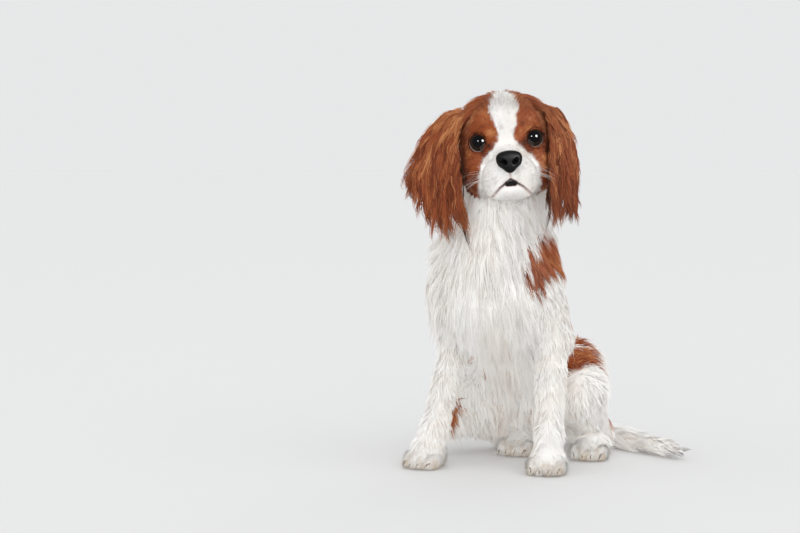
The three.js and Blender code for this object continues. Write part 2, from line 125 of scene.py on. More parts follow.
HEAD_TURN = np.array(
    Matrix.Rotation(HEAD_YAW, 3, "Z")
    @ Matrix.Rotation(-HEAD_PITCH, 3, "X")
    @ Matrix.Rotation(HEAD_ROLL, 3, "Y")
)


def unit(vectors):
    """The vectors at length 1."""
    return vectors / np.maximum(np.linalg.norm(vectors, axis=-1, keepdims=True), 1e-9)


def fade(value, zero, one):
    """0 at one value and 1 at the other, even in between."""
    return np.clip((value - zero) / (one - zero), 0, 1)


def reach_of(points, at, size):
    """How far points are from a place, as a share of a size along each axis."""
    return np.linalg.norm((points - at) / size, axis=1)


def from_head(points):
    """Points or a point of the head's frame, in the dog's."""
    return np.asarray(points, float) @ HEAD_TURN.T + HEAD_AT


def to_head(points):
    """Points of the dog's frame, in the head's."""
    return (np.asarray(points, float) - HEAD_AT) @ HEAD_TURN


def eye_place(side):
    """The middle of an eyeball in the head's frame, side +1 for the dog's left."""
    return np.array([side * EYE_SPREAD, EYE_DEPTH, 0])


def middle_of(node):
    """The middle of a node of the frame, in millimetres."""
    low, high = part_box(node)
    return (np.array(low) + np.array(high)) / 2 / MM


# The row's frame has its origin under the middle of the whole dog
SHIFT = middle_of("eye_left") - from_head(eye_place(1))
SHIFT[2] = 0


def metres(points):
    """Points of the dog's frame in millimetres, as metres in the row's frame."""
    return (np.asarray(points, float) + SHIFT) * MM


# Body masses


def turn_of(pitch=0, yaw=0):
    """A turn about X and then about Z, in degrees, as a matrix."""
    return np.array(Matrix.Rotation(radians(yaw), 3, "Z") @ Matrix.Rotation(radians(pitch), 3, "X"))


def egg(at, size, turn=(0, 0)):
    """An ellipsoid mass."""
    return {"at": np.array(at, float), "size": np.array(size, float), "turn": turn_of(*turn)}


def bar(start, end, thick, thin):
    """A bar with round ends that narrows."""
    return {"ends": (np.array(start, float), np.array(end, float)), "radii": (thick, thin)}


def distance(mass, points):
    """How far points are outside one mass."""
    if "ends" in mass:
        start, end = mass["ends"]
        along = end - start
        share = np.clip((points - start) @ along / (along @ along), 0, 1)
        thick, thin = mass["radii"]
        away = np.linalg.norm(points - start - share[:, None] * along, axis=1)
        return away - thick - share * (thin - thick)
    local = (points - mass["at"]) @ mass["turn"]
    near = np.linalg.norm(local / mass["size"], axis=1)
    slope = np.linalg.norm(local / mass["size"] ** 2, axis=1)
    return near * (near - 1) / np.maximum(slope, 1e-4)


def soft_min(a, b, width):
    """The smaller of two distances, rounded where they are alike."""
    over = np.maximum(width - np.abs(a - b), 0) / width
    return np.minimum(a, b) - over * over * width / 4


def blended(masses, width, points):
    """The distance to masses that flow into one another."""
    total = distance(masses[0], points)
    for mass in masses[1:]:
        total = soft_min(total, distance(mass, points), width)
    return total


FORELEGS = {
    "left": {
        "shoulder": (48, 4, 205),
        "elbow": (60, 26, 148),
        "wrist": (63, 10, 44),
        "paw": (63, 4),
        "toe": 10,
    },
    "right": {
        "shoulder": (-46, 4, 205),
        "elbow": (-52, 26, 148),
        "wrist": (-70, 2, 44),
        "paw": (-75, -12),
        "toe": -12,
    },
}
HINDLEGS = {
    "left": {
        "hip": (44, 136, 92),
        "knee": (76, 88, 82),
        "hock": (76, 150, 24),
        "paw": (78, 114),
        "toe": 8,
    },
    "right": {
        "hip": (-42, 138, 82),
        "knee": (-82, 92, 48),
        "hock": (-40, 146, 20),
        "paw": (-9, 110),
        "toe": -2,
    },
}
ENDS = {"fore": FORELEGS, "hind": HINDLEGS}
TOES = (-1.5, -0.5, 0.5, 1.5)


def foreleg(joints):
    """The masses of one foreleg down to its pastern."""
    shoulder, elbow, wrist = (joints[k] for k in ("shoulder", "elbow", "wrist"))
    x, y = joints["paw"]
    return [
        bar(shoulder, elbow, 30, 22),
        egg((elbow[0], elbow[1] + 4, elbow[2] + 4), (16, 19, 17)),
        bar(elbow, wrist, 18, 13),
        bar(wrist, (x, y + 4, 24), 13.5, 15.5),
    ]


def hindleg(joints):
    """The masses of one hind leg down to its paw."""
    hip, knee, hock = (joints[k] for k in ("hip", "knee", "hock"))
    x, y = joints["paw"]
    return [bar(hip, knee, 47, 26), bar(knee, hock, 24, 14), bar(hock, (x, y + 14, 15), 14, 14)]


def paw(joints):
    """A rounded pad and four arched toes."""
    x, y = joints["paw"]
    turn = turn_of(0, joints["toe"])
    masses = [egg((x, y, 0) + turn @ (0, 6, 11), (18, 20, 15), (0, joints["toe"]))]
    for place in TOES:
        at = (x, y, 0) + turn @ (place * TOE_PITCH, -13 + 3 * abs(place), 8.8)
        masses.append(egg(at, (6.4, 13.5, 9.8), (10, joints["toe"] - 7 * place)))
    return masses


HEAD = [
    egg((0, 42, 4), (48.5, 54, 50)),
    egg((0, 12, 18), (34, 20, 26)),
    egg((-23, 6, 17), (12, 9, 7)),
    egg((23, 6, 17), (12, 9, 7)),
    egg((-30, 28, -28), (20, 34, 28)),
    egg((30, 28, -28), (20, 34, 28)),
    egg((0, -14, -31), (23, 28, 18)),
    egg((-15.5, -21, -42), (15.5, 20, 19.5)),
    egg((15.5, -21, -42), (15.5, 20, 19.5)),
    bar((0, 2, -12), (0, -34, -19), 12, 8),
    egg((0, -19, -54), (18, 20, 11)),
    egg((0, 14, -46), (24, 34, 19)),
]
NECK = [bar((2, 22, 258), (12, 4, 334), 54, 42), bar((4, -14, 250), (18, -20, 316), 46, 28)]
TORSO = [
    egg((0, 24, 196), (60, 78, 60), (-42, 0)),
    egg((0, -12, 214), (48, 34, 50)),
    egg((-38, 16, 220), (29, 36, 52)),
    egg((38, 16, 220), (29, 36, 52)),
    egg((0, 42, 254), (42, 42, 32)),
    egg((0, 96, 132), (52, 64, 50), (-40, 0)),
    egg((0, 148, 78), (56, 50, 58), (-30, 0)),
]
NOSE = [
    egg((0, -41, -19), (12.6, 8, 7)),
    egg((0, -43.5, -27), (7.6, 6, 9)),
    egg((-7.8, -42, -23), (5.3, 6.5, 6.5)),
    egg((7.8, -42, -23), (5.3, 6.5, 6.5)),
]
TAIL = ((2, 178, 42), (26, 204, 22), (62, 208, 15), (104, 190, 13), (146, 166, 12), (178, 148, 10))
TAIL_MASSES = [bar(TAIL[i], TAIL[i + 1], 13 - 2 * i, 11 - 2 * i) for i in range(len(TAIL) - 1)]

# Each region of the body: its masses, how softly they flow together, whether they are in the head's frame
REGIONS = {
    "head": (HEAD, HEAD_BLEND, True),
    "neck": (NECK, 20, False),
    "torso": (TORSO, 26, False),
    **{f"foreleg_{side}": (foreleg(joints), 10, False) for side, joints in FORELEGS.items()},
    **{f"hindleg_{side}": (hindleg(joints), 16, False) for side, joints in HINDLEGS.items()},
    **{f"{end}paw_{side}": (paw(legs[side]), 4, False) for end, legs in ENDS.items() for side in legs},
    "tail": (TAIL_MASSES, 10, False),
}
NAMES = list(REGIONS)
PAWS = [name for name in NAMES if "paw" in name]
UPPER_FORELEGS = [name for name in NAMES if "foreleg" in name]
UPPER_HINDLEGS = [name for name in NAMES if "hindleg" in name]


def among(region, *names):
    """Which points are in the named regions, from the number of each point's region."""
    return np.isin(region, [NAMES.index(name) for name in names])


def front_of_head(x, z):
    """The place on the front of the head's skin at a place across and a height."""
    front, back = -60.0, 0.0
    for _ in range(20):
        middle = (front + back) / 2
        inside = blended(HEAD, HEAD_BLEND, np.array([[x, middle, z]]))[0] < -SKIN_DEPTH
        front, back = (front, middle) if inside else (middle, back)
    return x, back, z


# The line of the mouth on one side, from its middle: places across and heights, and its crease's radius
MOUTH_PLACES = (
    (0, -42.5, 1.0),
    (4, -45.0, 1.1),
    (8, -48.0, 1.0),
    (12, -50.6, 0.9),
    (16, -54.6, 0.85),
    (20, -58.6, 0.8),
    (25, -61.4, 0.75),
    (30, -61.8, 0.6),
)
MOUTH_ROUTE = [front_of_head(x, z) for x, z, _ in MOUTH_PLACES]
MOUTH_LINE = [
    bar(start, end, radius, radius)
    for start, end, (_, _, radius) in zip(MOUTH_ROUTE, MOUTH_ROUTE[1:], MOUTH_PLACES[1:])
]
MOUTH_LINE.append(bar(front_of_head(0, -36.5), front_of_head(0, -42.5), 0.5, 0.5))
MOUTH_OPENING = bar(front_of_head(-3.8, -46.7), front_of_head(3.8, -46.7), 2.7, 2.7)


def folded_over(local):
    """Points of the head moved to its left half."""
    folded = np.array(local)
    folded[:, 0] = np.abs(folded[:, 0])
    return folded


def lid_frame(side, local):
    """How far points are from the middle line of one eye's opening, and how far behind its lids' rim."""
    gaze = np.array([side * np.sin(LID_SWING), -np.cos(LID_SWING), 0])
    centre = eye_place(side) + gaze * LID_AHEAD
    q = (local - centre) @ np.array(Matrix.Rotation(side * LID_SWING, 3, "Z"))
    return np.hypot(q[:, 0] / LID_NARROW, q[:, 2]), q[:, 1]


def lid_ring(side, local):
    """The distance to the rim of the lids round one eye, in the head's frame."""
    reach, depth = lid_frame(side, local)
    return np.hypot(reach - LID_RADIUS, depth) - LID_THICKNESS


def lip_distance(local):
    """The distance to the line of the mouth."""
    folded = folded_over(local)
    opening = distance(MOUTH_OPENING, local)
    return np.minimum.reduce([opening, *(distance(crease, folded) for crease in MOUTH_LINE)])


def face_details(field, local):
    """Lids, eye sockets and the line of the mouth, worked into the head's surface."""
    for side in (-1, 1):
        reach, depth = lid_frame(side, local)
        field = -soft_min(-field, np.hypot(reach, depth + 5.0) - LID_RADIUS - 0.6, 4)
        field = soft_min(field, lid_ring(side, local), 3)
        ball = np.linalg.norm(local - eye_place(side), axis=1) - EYE_RADIUS - 0.1
        field = np.maximum(field, -ball)
    return -soft_min(-field, lip_distance(local) + SKIN_DEPTH, 1.4)


def region_fields(points):
    """The distance to each region's surface, one row a region."""
    local = to_head(points)
    rows = []
    for masses, width, on_head in REGIONS.values():
        rows.append(blended(masses, width, local if on_head else points))
    return np.array(rows)


def body_field(points, detail=False):
    """The distance to the skin of the whole dog."""
    rows = region_fields(points)
    total = rows[0]
    if detail:
        total = face_details(total, to_head(points))
    for row in rows[1:]:
        total = soft_min(total, row, JOIN_WIDTH)
    return total + SKIN_DEPTH


def detailed_field(points):
    """The distance to the skin with the details of the face."""
    return body_field(points, detail=True)


def nostril_distances(local):
    """The distances to the nostrils' holes and slits, in the head's frame."""
    folded = folded_over(local)
    hole = distance(bar((5.0, -49.6, -25.4), (7.8, -47.4, -22.6), 2.4, 2.0), folded)
    slit = distance(bar((7.8, -48.0, -22.8), (12.2, -42.5, -25.0), 1.0, 0.7), folded)
    return hole, slit


def nose_field(points):
    """The distance to the nose's surface, with its nostrils sunk in."""
    local = to_head(points)
    field = blended(NOSE, NOSE_BLEND, local)
    hole, slit = nostril_distances(local)
    groove = distance(bar((0, -51.3, -22), (0, -49.0, -36), 0.6, 0.6), local)
    field = -soft_min(-field, hole, 1.5)
    field = -soft_min(-field, slit, 1.2)
    return -soft_min(-field, groove, 1.6)


def slope(field, points, step=0.4):
    """A field at points, and the direction in which it grows fastest."""
    here = field(points)
    changes = [field(points + step * axis) - here for axis in np.eye(3)]
    return here, unit(np.array(changes).T)


def onto(field, points, rounds):
    """Points moved onto a field's surface."""
    for _ in range(rounds):
        here, out = slope(field, points)
        points = points - np.clip(here, -5, 5)[:, None] * out
    return points


# Ears: rows of a place and a half width from foot to tip, the turn of the width in degrees, the cup, the
# side, how far the locks hang, and how far the outer corner is cut away
EARS = {
    "left": {
        "rows": (
            (35, 42, 36, 13),
            (51, 40, 27, 20),
            (60, 35, -3, 26),
            (60, 30, -34, 27),
            (57, 28, -60, 20),
        ),
        "turn": 60,
        "cup": 9,
        "side": 1,
        "hang": 0.86,
        "cut": 0.05,
    },
    "right": {
        "rows": (
            (-36, 42, 36, 14),
            (-55, 38, 27, 20),
            (-73, 32, -1, 26),
            (-80, 26, -32, 30),
            (-77, 24, -60, 21),
        ),
        "turn": 142,
        "cup": 8,
        "side": -1,
        "hang": 1.0,
        "cut": 0.24,
    },
}


def ear_points(ear, down, across, through):
    """Points of an ear in the dog's frame: shares down and across it, and millimetres out of its face."""
    rows = np.array(ear["rows"], float)
    steps = np.linspace(0, 1, len(rows))
    on = np.clip(down, 0, 1)

    def middle(share):
        share = np.clip(share, 0, 1)
        return np.stack([np.interp(share, steps, rows[:, k]) for k in range(3)], axis=-1)

    half = np.interp(on, steps, rows[:, 3])
    run = unit(middle(on + 0.08) - middle(on - 0.08))
    turn = radians(ear["turn"])
    wide = np.array([np.cos(turn), np.sin(turn), 0])
    wide = unit(wide - (run @ wide)[:, None] * run)
    out = unit(np.cross(run, wide)) * ear["side"]
    places = middle(on) + wide * (across * half)[:, None] + DOWN * ((down - on) * EAR_LENGTH)[:, None]
    lift = through + ear["cup"] * (1 - np.minimum(across**2, 1)) * on
    return from_head(places + out * lift[:, None])


# Markings

# Half the width of the white down the face, by height
BLAZE_HEIGHTS = (-70, -52, -39, -29, -18.5, -14, -8, 0, 7, 20, 33, 45, 52, 58)
BLAZE_WIDTHS = (30, 33, 33.5, 31.5, 26.5, 22, 15, 8.8, 9, 12.5, 15, 9, 4, 1)

# The chestnut patches of the body: place and size
BODY_PATCHES = (
    ((60, -5, 234), (26, 37, 30)),
    ((67, 4, 262), (16, 30, 24)),
    ((72, 16, 190), (8, 14, 20)),
    ((58, 52, 228), (26, 34, 44)),
    ((30, 96, 178), (36, 40, 34)),
    ((58, 102, 126), (27, 38, 38)),
    ((85, 147, 54), (11, 13, 24)),
    ((-62, 50, 222), (24, 34, 42)),
    ((-74, 32, 176), (12, 14, 12)),
    ((-70, 122, 130), (14, 30, 28)),
    ((-52, 72, 110), (11, 14, 12)),
    ((-77, 72, 56), (9, 11, 18)),
    ((0, 168, 132), (38, 30, 32)),
)


def near(points, at, size, turn=(0, 0)):
    """1 inside an ellipsoid patch, fading to 0 past its edge, with a ragged outline."""
    local = (points - np.array(at, float)) @ turn_of(*turn)
    reach = np.linalg.norm(local / np.array(size, float), axis=1)
    ragged = 0.06 * np.sin(points @ (0.21, 0.17, 0.26)) + 0.05 * np.sin(points @ (-0.33, 0.29, 0.14) + 1.7)
    return np.clip((1 - reach + ragged) / 0.25 + 0.5, 0, 1)


def patchy(points, size, seed):
    """Smooth noise between 0 and 1, with blotches of about a size in millimetres."""
    draw = np.random.default_rng(seed)
    total = np.zeros(len(points))
    for octave in range(8):
        way = unit(draw.normal(size=3)) * 6.28 / (size * (0.7 + 0.25 * octave))
        total += np.sin(points @ way + draw.uniform(0, 6.28))
    return np.clip(0.5 + total / 7, 0, 1)


def face_chestnut(points, local):
    """The chestnut of the head, with its blaze, white muzzle and white throat."""
    x, y, z = local.T
    ragged = 2.2 * (patchy(points, 9, 3) - 0.5) + 1.6 * (patchy(points, 4, 4) - 0.5)
    half = np.interp(z, BLAZE_HEIGHTS, BLAZE_WIDTHS)
    half = half * np.clip(1.35 - np.maximum(y, 0) / 60, 0, 1) - 8 * fade(y, 34, 54)
    face = np.clip((np.abs(x) - half - ragged) / 2.2 + 0.5, 0, 1)
    low = np.clip((z + 58 - 0.1 * y) / 6 + 0.5, 0, 1)
    jaw = fade(np.abs(x), 30, 35) * fade(z, -74, -66)
    return face * np.maximum(low, jaw)


def chestnut_share(points, region):
    """How chestnut the coat is at points of the skin, 0 for white."""
    share = np.maximum.reduce([near(points, at, size) for at, size in BODY_PATCHES])
    share *= 1 - 0.95 * near(points, (62, 108, 134), (22, 26, 3.5), (-20, 0))
    nape = np.maximum(near(points, (6, 48, 314), (46, 36, 54)), near(points, (-38, 10, 296), (20, 16, 24)))
    high = fade(points[:, 2], 318, 326) * fade(points[:, 1], -10, 0)
    elbow = fade(points[:, 1], 20, 24) * fade(points[:, 2], 160, 164)
    share = np.where(among(region, "neck"), np.maximum.reduce([share, nape, high]), share)
    share = np.where(among(region, "head"), face_chestnut(points, to_head(points)), share)
    share = np.where(among(region, "tail", *PAWS), 0, share)
    return np.where(among(region, *UPPER_FORELEGS), share * elbow, share)


def stain(points, region):
    """How far the white is stained cream, by the toes and along the tail."""
    toes = 0.15 + 0.6 * fade(points[:, 2], 24, 8) * patchy(points, 7, 12)
    tail = 0.1 + 0.3 * patchy(points, 12, 13)
    amount = np.where(among(region, *PAWS), toes, 0.12 + 0.25 * patchy(points, 30, 11))
    return np.where(among(region, "tail"), tail, amount)


def own_shade(points, region):
    """The shade of the coat by place: streaks and blotches, and darker by the eyes' inner corners."""
    local = folded_over(to_head(points))
    shade = 0.5 + 0.55 * (patchy(points, 16, 5) - 0.5) + 0.5 * (patchy(points, 5, 6) - 0.5)
    corner = reach_of(local, (17, -7, -5), (8, 12, 8))
    under = reach_of(local, (24, -8, -16), (6, 14, 10))
    dark = np.clip(1.25 - np.minimum(corner, under), 0, 1)
    side = fade(local[:, 0], 38, 48) * fade(local[:, 2], 8, -12)
    return shade - np.where(among(region, "head"), 0.75 * dark + 0.35 * side, 0)


# The way the coat lies


def face_lie(local):
    """Over the head: back from the nose, up the forehead, down the cheeks and sides."""
    x, y, z = local.T
    over = local - (0, -46, -24) + np.stack([0 * x, 30 + 0 * y, -0.4 * y - 10], axis=1)
    up = np.stack([0.7 * x, 20 + 0 * y, 50 + 0 * z], axis=1)
    share = (fade(z, 2, 18) * fade(y, 44, 4))[:, None]
    way = (1 - share) * unit(over) + share * unit(up)
    cheek = fade(np.abs(x), 24, 34) * fade(y, 2, 22) * fade(z, 30, 10)
    way += cheek[:, None] * np.array([0, 0.3, -1.1])
    way += fade(z, 30, 44)[:, None] * np.stack([0.04 * x, 0.4 + 0 * y, 0 * z], axis=1)
    side = fade(np.abs(x), 28, 40) * fade(y, 4, 18) * fade(z, -6, 8)
    way += side[:, None] * np.stack([0.05 * x, 0.2 + 0 * y, -0.9 + 0 * z], axis=1)
    return unit(way) @ HEAD_TURN.T


def tail_lie(points):
    """Along the nearest part of the tail."""
    line = np.array(TAIL, float)
    middles = (line[1:] + line[:-1]) / 2
    closest = np.argmin(np.linalg.norm(points[:, None] - middles, axis=2), axis=1)
    return unit(line[1:] - line[:-1])[closest]


def lie_of(points, region):
    """Over the whole body, before it is laid along the skin."""
    x = points[:, 0]
    back = fade(points[:, 1], 10, 60)
    ways = {
        "head": face_lie(to_head(points)),
        "torso": np.stack([0.012 * (x - 6) * (1 - back), 0.2 + 0.5 * back, -1 + 0.1 * back], axis=1),
        "neck": np.stack([0.014 * (x - 8), 0.1 + 0.3 * back, -1 + 0 * back], axis=1),
        "tail": tail_lie(points),
        **{name: np.broadcast_to((0.0, 0.5, -0.8), points.shape) for name in UPPER_HINDLEGS},
    }
    for end, legs in ENDS.items():
        for side, joints in legs.items():
            toes = turn_of(0, joints["toe"]) @ (0, -1, -0.35)
            ways[f"{end}paw_{side}"] = np.broadcast_to(toes, points.shape)
    lies = np.tile(np.array([0.0, 0.35, -1.0]), (len(points), 1))
    for name, way in ways.items():
        inside = among(region, name)
        lies[inside] = way[inside]
    return unit(lies)


def temple_lie(points, region):
    """Out from the crown and down over the ears."""
    x = to_head(points)[:, 0]
    return unit(np.stack([np.sign(x), 0.2 + 0 * x, -0.25 + 0 * x], axis=1)) @ HEAD_TURN.T


# Mesh helpers


def clear_selection():
    """Nothing is selected or active, so an operator acts only on what is added next."""
    if bpy.context.object is not None and bpy.context.object.mode != "OBJECT":
        bpy.ops.object.mode_set(mode="OBJECT")
    bpy.ops.object.select_all(action="DESELECT")
    bpy.context.view_layer.objects.active = None


def select(pieces):
    """The pieces alone are selected, the first of them active."""
    clear_selection()
    for piece in pieces:
        piece.select_set(True)
    bpy.context.view_layer.objects.active = pieces[0]


def edit_all(piece, step, **settings):
    """Runs an edit-mode operator on the whole of a piece."""
    select([piece])
    bpy.ops.object.mode_set(mode="EDIT")
    bpy.ops.mesh.select_all(action="SELECT")
    step(**settings)
    bpy.ops.object.mode_set(mode="OBJECT")


def coordinates(piece):
    """The places of a piece's vertices."""
    places = np.empty(len(piece.data.vertices) * 3)
    piece.data.vertices.foreach_get("co", places)
    return places.reshape(-1, 3)


def set_coordinates(piece, places):
    """Moves a piece's vertices."""
    piece.data.vertices.foreach_set("co", np.asarray(places, np.float32).ravel())
    piece.data.update()


def settle(piece, field, rounds):
    """Moves a piece's vertices onto a field's surface, and gives their places in millimetres."""
    places = onto(field, coordinates(piece) / MM - SHIFT, rounds)
    set_coordinates(piece, metres(places))
    return places


def smooth_faces(piece):
    """Shades a piece smooth."""
    piece.data.polygons.foreach_set("use_smooth", np.ones(len(piece.data.polygons), bool))


def unwrap(piece):
    """Gives a piece the unwrap that its colours are kept on."""
    while piece.data.uv_layers:
        piece.data.uv_layers.remove(piece.data.uv_layers[0])
    piece.data.uv_layers.new(name=UNWRAP)
    edit_all(piece, bpy.ops.uv.smart_project, angle_limit=radians(66), island_margin=0.002)


def mark(piece, name, colours):
    """Keeps four values for each vertex."""
    layer = piece.data.color_attributes.new(name=name, type="FLOAT_COLOR", domain="POINT")
    layer.data.foreach_set("color", np.asarray(colours, np.float32).ravel())


def mark_value(piece, name, values):
    """Keeps one value for each vertex."""
    layer = piece.data.attributes.new(name, "FLOAT", "POINT")
    layer.data.foreach_set("value", values.astype(np.float32))


def mass_spheres(mass, head):
    """Adds the solids of one mass, as a stretched ball or as two balls and a cone."""
    if "ends" in mass:
        made = []
        start, end = (metres(from_head(p) if head else p) for p in mass["ends"])
        thick, thin = (r * MM for r in mass["radii"])
        for place, radius in ((start, thick), (end, thin)):
            bpy.ops.mesh.primitive_uv_sphere_add(segments=20, ring_count=12, radius=radius, location=place)
            made.append(bpy.context.object)
        run = Vector(end - start)
        bpy.ops.mesh.primitive_cone_add(
            vertices=20,
            radius1=thick,
            radius2=thin,
            depth=run.length,
            location=(start + end) / 2,
            rotation=run.to_track_quat("Z", "Y").to_euler(),
        )
        return [*made, bpy.context.object]
    turn = (HEAD_TURN if head else np.eye(3)) @ mass["turn"]
    bpy.ops.mesh.primitive_uv_sphere_add(
        segments=28,
        ring_count=18,
        radius=1,
        location=metres(from_head(mass["at"]) if head else mass["at"]),
        rotation=Matrix(turn.tolist()).to_euler(),
        scale=mass["size"] * MM,
    )
    return [bpy.context.object]


def remeshed(pieces, name, voxel):
    """Joins pieces into one closed mesh of even faces."""
    select(pieces)
    bpy.ops.object.join()
    body = bpy.context.object
    body.name = body.data.name = name
    bpy.ops.object.transform_apply(location=True, rotation=True, scale=True)
    remesh = body.modifiers.new("Even faces", "REMESH")
    remesh.mode = "VOXEL"
    remesh.voxel_size = voxel
    bpy.ops.object.modifier_apply(modifier=remesh.name)
    even = body.modifiers.new("Smooth", "SMOOTH")
    even.factor = 0.5
    even.iterations = 6
    bpy.ops.object.modifier_apply(modifier=even.name)
    return body


def placed(name, points, faces):
    """A new mesh from arrays of places in metres and triangles."""
    mesh = bpy.data.meshes.new(name)
    mesh.vertices.add(len(points))
    mesh.vertices.foreach_set("co", np.asarray(points, np.float32).ravel())
    mesh.loops.add(faces.size)
    mesh.loops.foreach_set("vertex_index", faces.astype(np.int32).ravel())
    mesh.polygons.add(len(faces))
    mesh.polygons.foreach_set("loop_start", np.arange(0, faces.size, 3, dtype=np.int32))
    mesh.polygons.foreach_set("use_smooth", np.ones(len(faces), bool))
    mesh.update(calc_edges=True)
    piece = bpy.data.objects.new(name, mesh)
    bpy.context.scene.collection.objects.link(piece)
    return piece


def finished(piece, material, slot, *nodes):
    """Dresses a piece, sets it on the body and hides the parts of the frame that it stands for."""
    piece.data.materials.clear()
    piece.data.materials.append(material)
    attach(piece, BODY)
    if nodes:
        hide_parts(*nodes)


# Hair


def tuft_faces(rings):
    """The triangles of one tuft: a foot, three sides and a tip, turned outward."""
    faces = [(0, 1, 2)]
    for ring in range(rings - 1):
        for corner in range(3):
            a = ring * 3 + corner
            b = ring * 3 + (corner + 1) % 3
            faces += [(a, b + 3, b), (a, a + 3, b + 3)]
    last = (rings - 1) * 3
    faces += [(last + (corner + 1) % 3, last + corner, rings * 3) for corner in range(3)]
    return np.array(faces)


def hair_mesh(name, paths, width, normals, roots_uv, look, flat=0.35):
    """Closed, three-sided, tapered tufts along paths, as one mesh.

    paths is tufts by points by 3 in millimetres, width the full width of each tuft, normals the way out of
    the skin at its root or at each of its points, and look its chestnut share, shade and stain.
    """
    count, points, _ = paths.shape
    rings = points - 1
    if normals.ndim == 2:
        normals = np.repeat(normals[:, None], points, axis=1)
    upward = normals[:, :rings]
    run = np.empty_like(paths[:, :rings])
    run[:, 1:] = paths[:, 2:] - paths[:, :-2]
    run[:, 0] = paths[:, 1] - paths[:, 0]
    run = unit(run)
    across = unit(np.cross(run, upward))
    raised = np.cross(across, run)
    shares = np.arange(rings) / rings
    profile = (0.7 + 0.9 * shares * (1 - shares)) * (1 - shares**2.2)
    half = width[:, None] / 2 * profile
    size = rings * 3 + 1
    places = np.empty((count, size, 3))
    soft = np.empty((count, size, 3))
    for corner, (sideways, out) in enumerate(((-1, -0.5), (1, -0.5), (0, 1))):
        offset = across * (half * sideways)[..., None] + raised * (half * out * flat * 2)[..., None]
        places[:, corner : rings * 3 : 3] = paths[:, :rings] + offset
        soft[:, corner : rings * 3 : 3] = upward + SOFTNESS * (across * sideways + raised * (out + 0.5))
    places[:, -1] = paths[:, -1]
    soft[:, -1] = normals[:, -1]
    triangles = (tuft_faces(rings)[None] + np.arange(count)[:, None, None] * size).reshape(-1, 3)
    piece = placed(name, metres(places.reshape(-1, 3)), triangles)
    piece.data.normals_split_custom_set_from_vertices(unit(soft.reshape(-1, 3)).tolist())

    along = np.append(np.repeat(shares, 3), 1.0)
    corner_u = np.append(np.tile((-0.5, 0.5, 0.0), rings), 0.0)
    offsets = np.stack([corner_u, along - 0.5], axis=1) * 2 * PATCH
    uv = (roots_uv[:, None] + offsets).reshape(-1, 2)
    layer = piece.data.uv_layers.new(name=UNWRAP)
    layer.data.foreach_set("uv", uv[triangles.ravel()].astype(np.float32).ravel())
    chestnut, shade, stained = look
    colours = np.ones((count, size, 4))
    colours[..., 0] = chestnut[:, None]
    colours[..., 1] = np.clip(shade, 0, 1)[:, None]
    colours[..., 2] = along
    colours[..., 3] = stained[:, None]
    mark(piece, MARKS, colours.reshape(-1, 4))
    return piece


class Skin:
    """The skin's triangles, from which roots of the coat are drawn."""

    def __init__(self, piece):
        mesh = piece.data
        mesh.calc_loop_triangles()
        count = len(mesh.loop_triangles)
        corners = np.empty(count * 3, np.int32)
        mesh.loop_triangles.foreach_get("vertices", corners)
        loops = np.empty(count * 3, np.int32)
        mesh.loop_triangles.foreach_get("loops", loops)
        uv = np.empty(len(mesh.loops) * 2)
        mesh.uv_layers[UNWRAP].data.foreach_get("uv", uv)
        places = coordinates(piece) / MM - SHIFT
        self.corners = places[corners.reshape(-1, 3)]
        self.uv = uv.reshape(-1, 2)[loops.reshape(-1, 3)]
        edges = np.cross(self.corners[:, 1] - self.corners[:, 0], self.corners[:, 2] - self.corners[:, 0])
        self.area = np.linalg.norm(edges, axis=1) / 2
        self.centre = self.corners.mean(axis=1)
        self.out = unit(edges)
        self.region = np.argmin(region_fields(self.centre), axis=0)

    def roots(self, draw, count, weight):
        """Places, ways out of the skin, unwrap places and regions of roots drawn by area and weight."""
        chance = self.area * weight
        picked = draw.choice(len(chance), count, p=chance / chance.sum())
        a, b = draw.random((2, count))
        over = a + b > 1
        a[over], b[over] = 1 - a[over], 1 - b[over]
        mix = np.stack([1 - a - b, a, b], axis=1)[..., None]
        return (
            (self.corners[picked] * mix).sum(axis=1),
            self.out[picked],
            (self.uv[picked] * mix).sum(axis=1),
            self.region[picked],
        )


SKINS = {}


def skin_of(name):
    """A skin's triangles, read once."""
    if name not in SKINS:
        SKINS[name] = Skin(bpy.data.objects[name])
    return SKINS[name]


def short_paths(roots, out, lie, length, stand):
    """Short hairs that leave the skin at a slant and lie along it: tufts by 3 points."""
    along = unit(lie - (lie * out).sum(axis=1)[:, None] * out)
    middle = roots + along * (0.5 * length)[:, None] + out * (0.5 * length * stand)[:, None]
    tip = roots + along * (0.98 * length)[:, None] + out * (0.62 * length * stand)[:, None]
    return np.stack([roots - out, middle, tip], axis=1)


def long_paths(roots, out, lie, length, lift, droop, wave):
    """Long locks that run along the skin, clear of it, and hang, and the way out at each point."""
    heading = unit(lie - (lie * out).sum(axis=1)[:, None] * out)
    at = roots.copy()
    path = [roots - out * 2.0, roots + out * (0.35 * lift)[:, None] + heading * 1.0]
    ways = [out, out]
    for step in range(1, LOCK_STEPS + 1):
        heading = unit(heading + DOWN * (droop / LOCK_STEPS)[:, None])
        at = at + heading * (length / LOCK_STEPS)[:, None]
        at = at + np.cross(heading, out) * (wave * np.sin(step * 1.9 + wave * 7))[:, None]
        here, away = slope(body_field, at)
        need = np.maximum(lift * (0.5 + 0.9 * step / LOCK_STEPS) - here, 0)
        at = at + away * need[:, None]
        at[:, 2] = np.maximum(at[:, 2], 1.2)
        path.append(at.copy())
        ways.append(away)
    return np.stack(path, axis=1), np.stack(ways, axis=1)


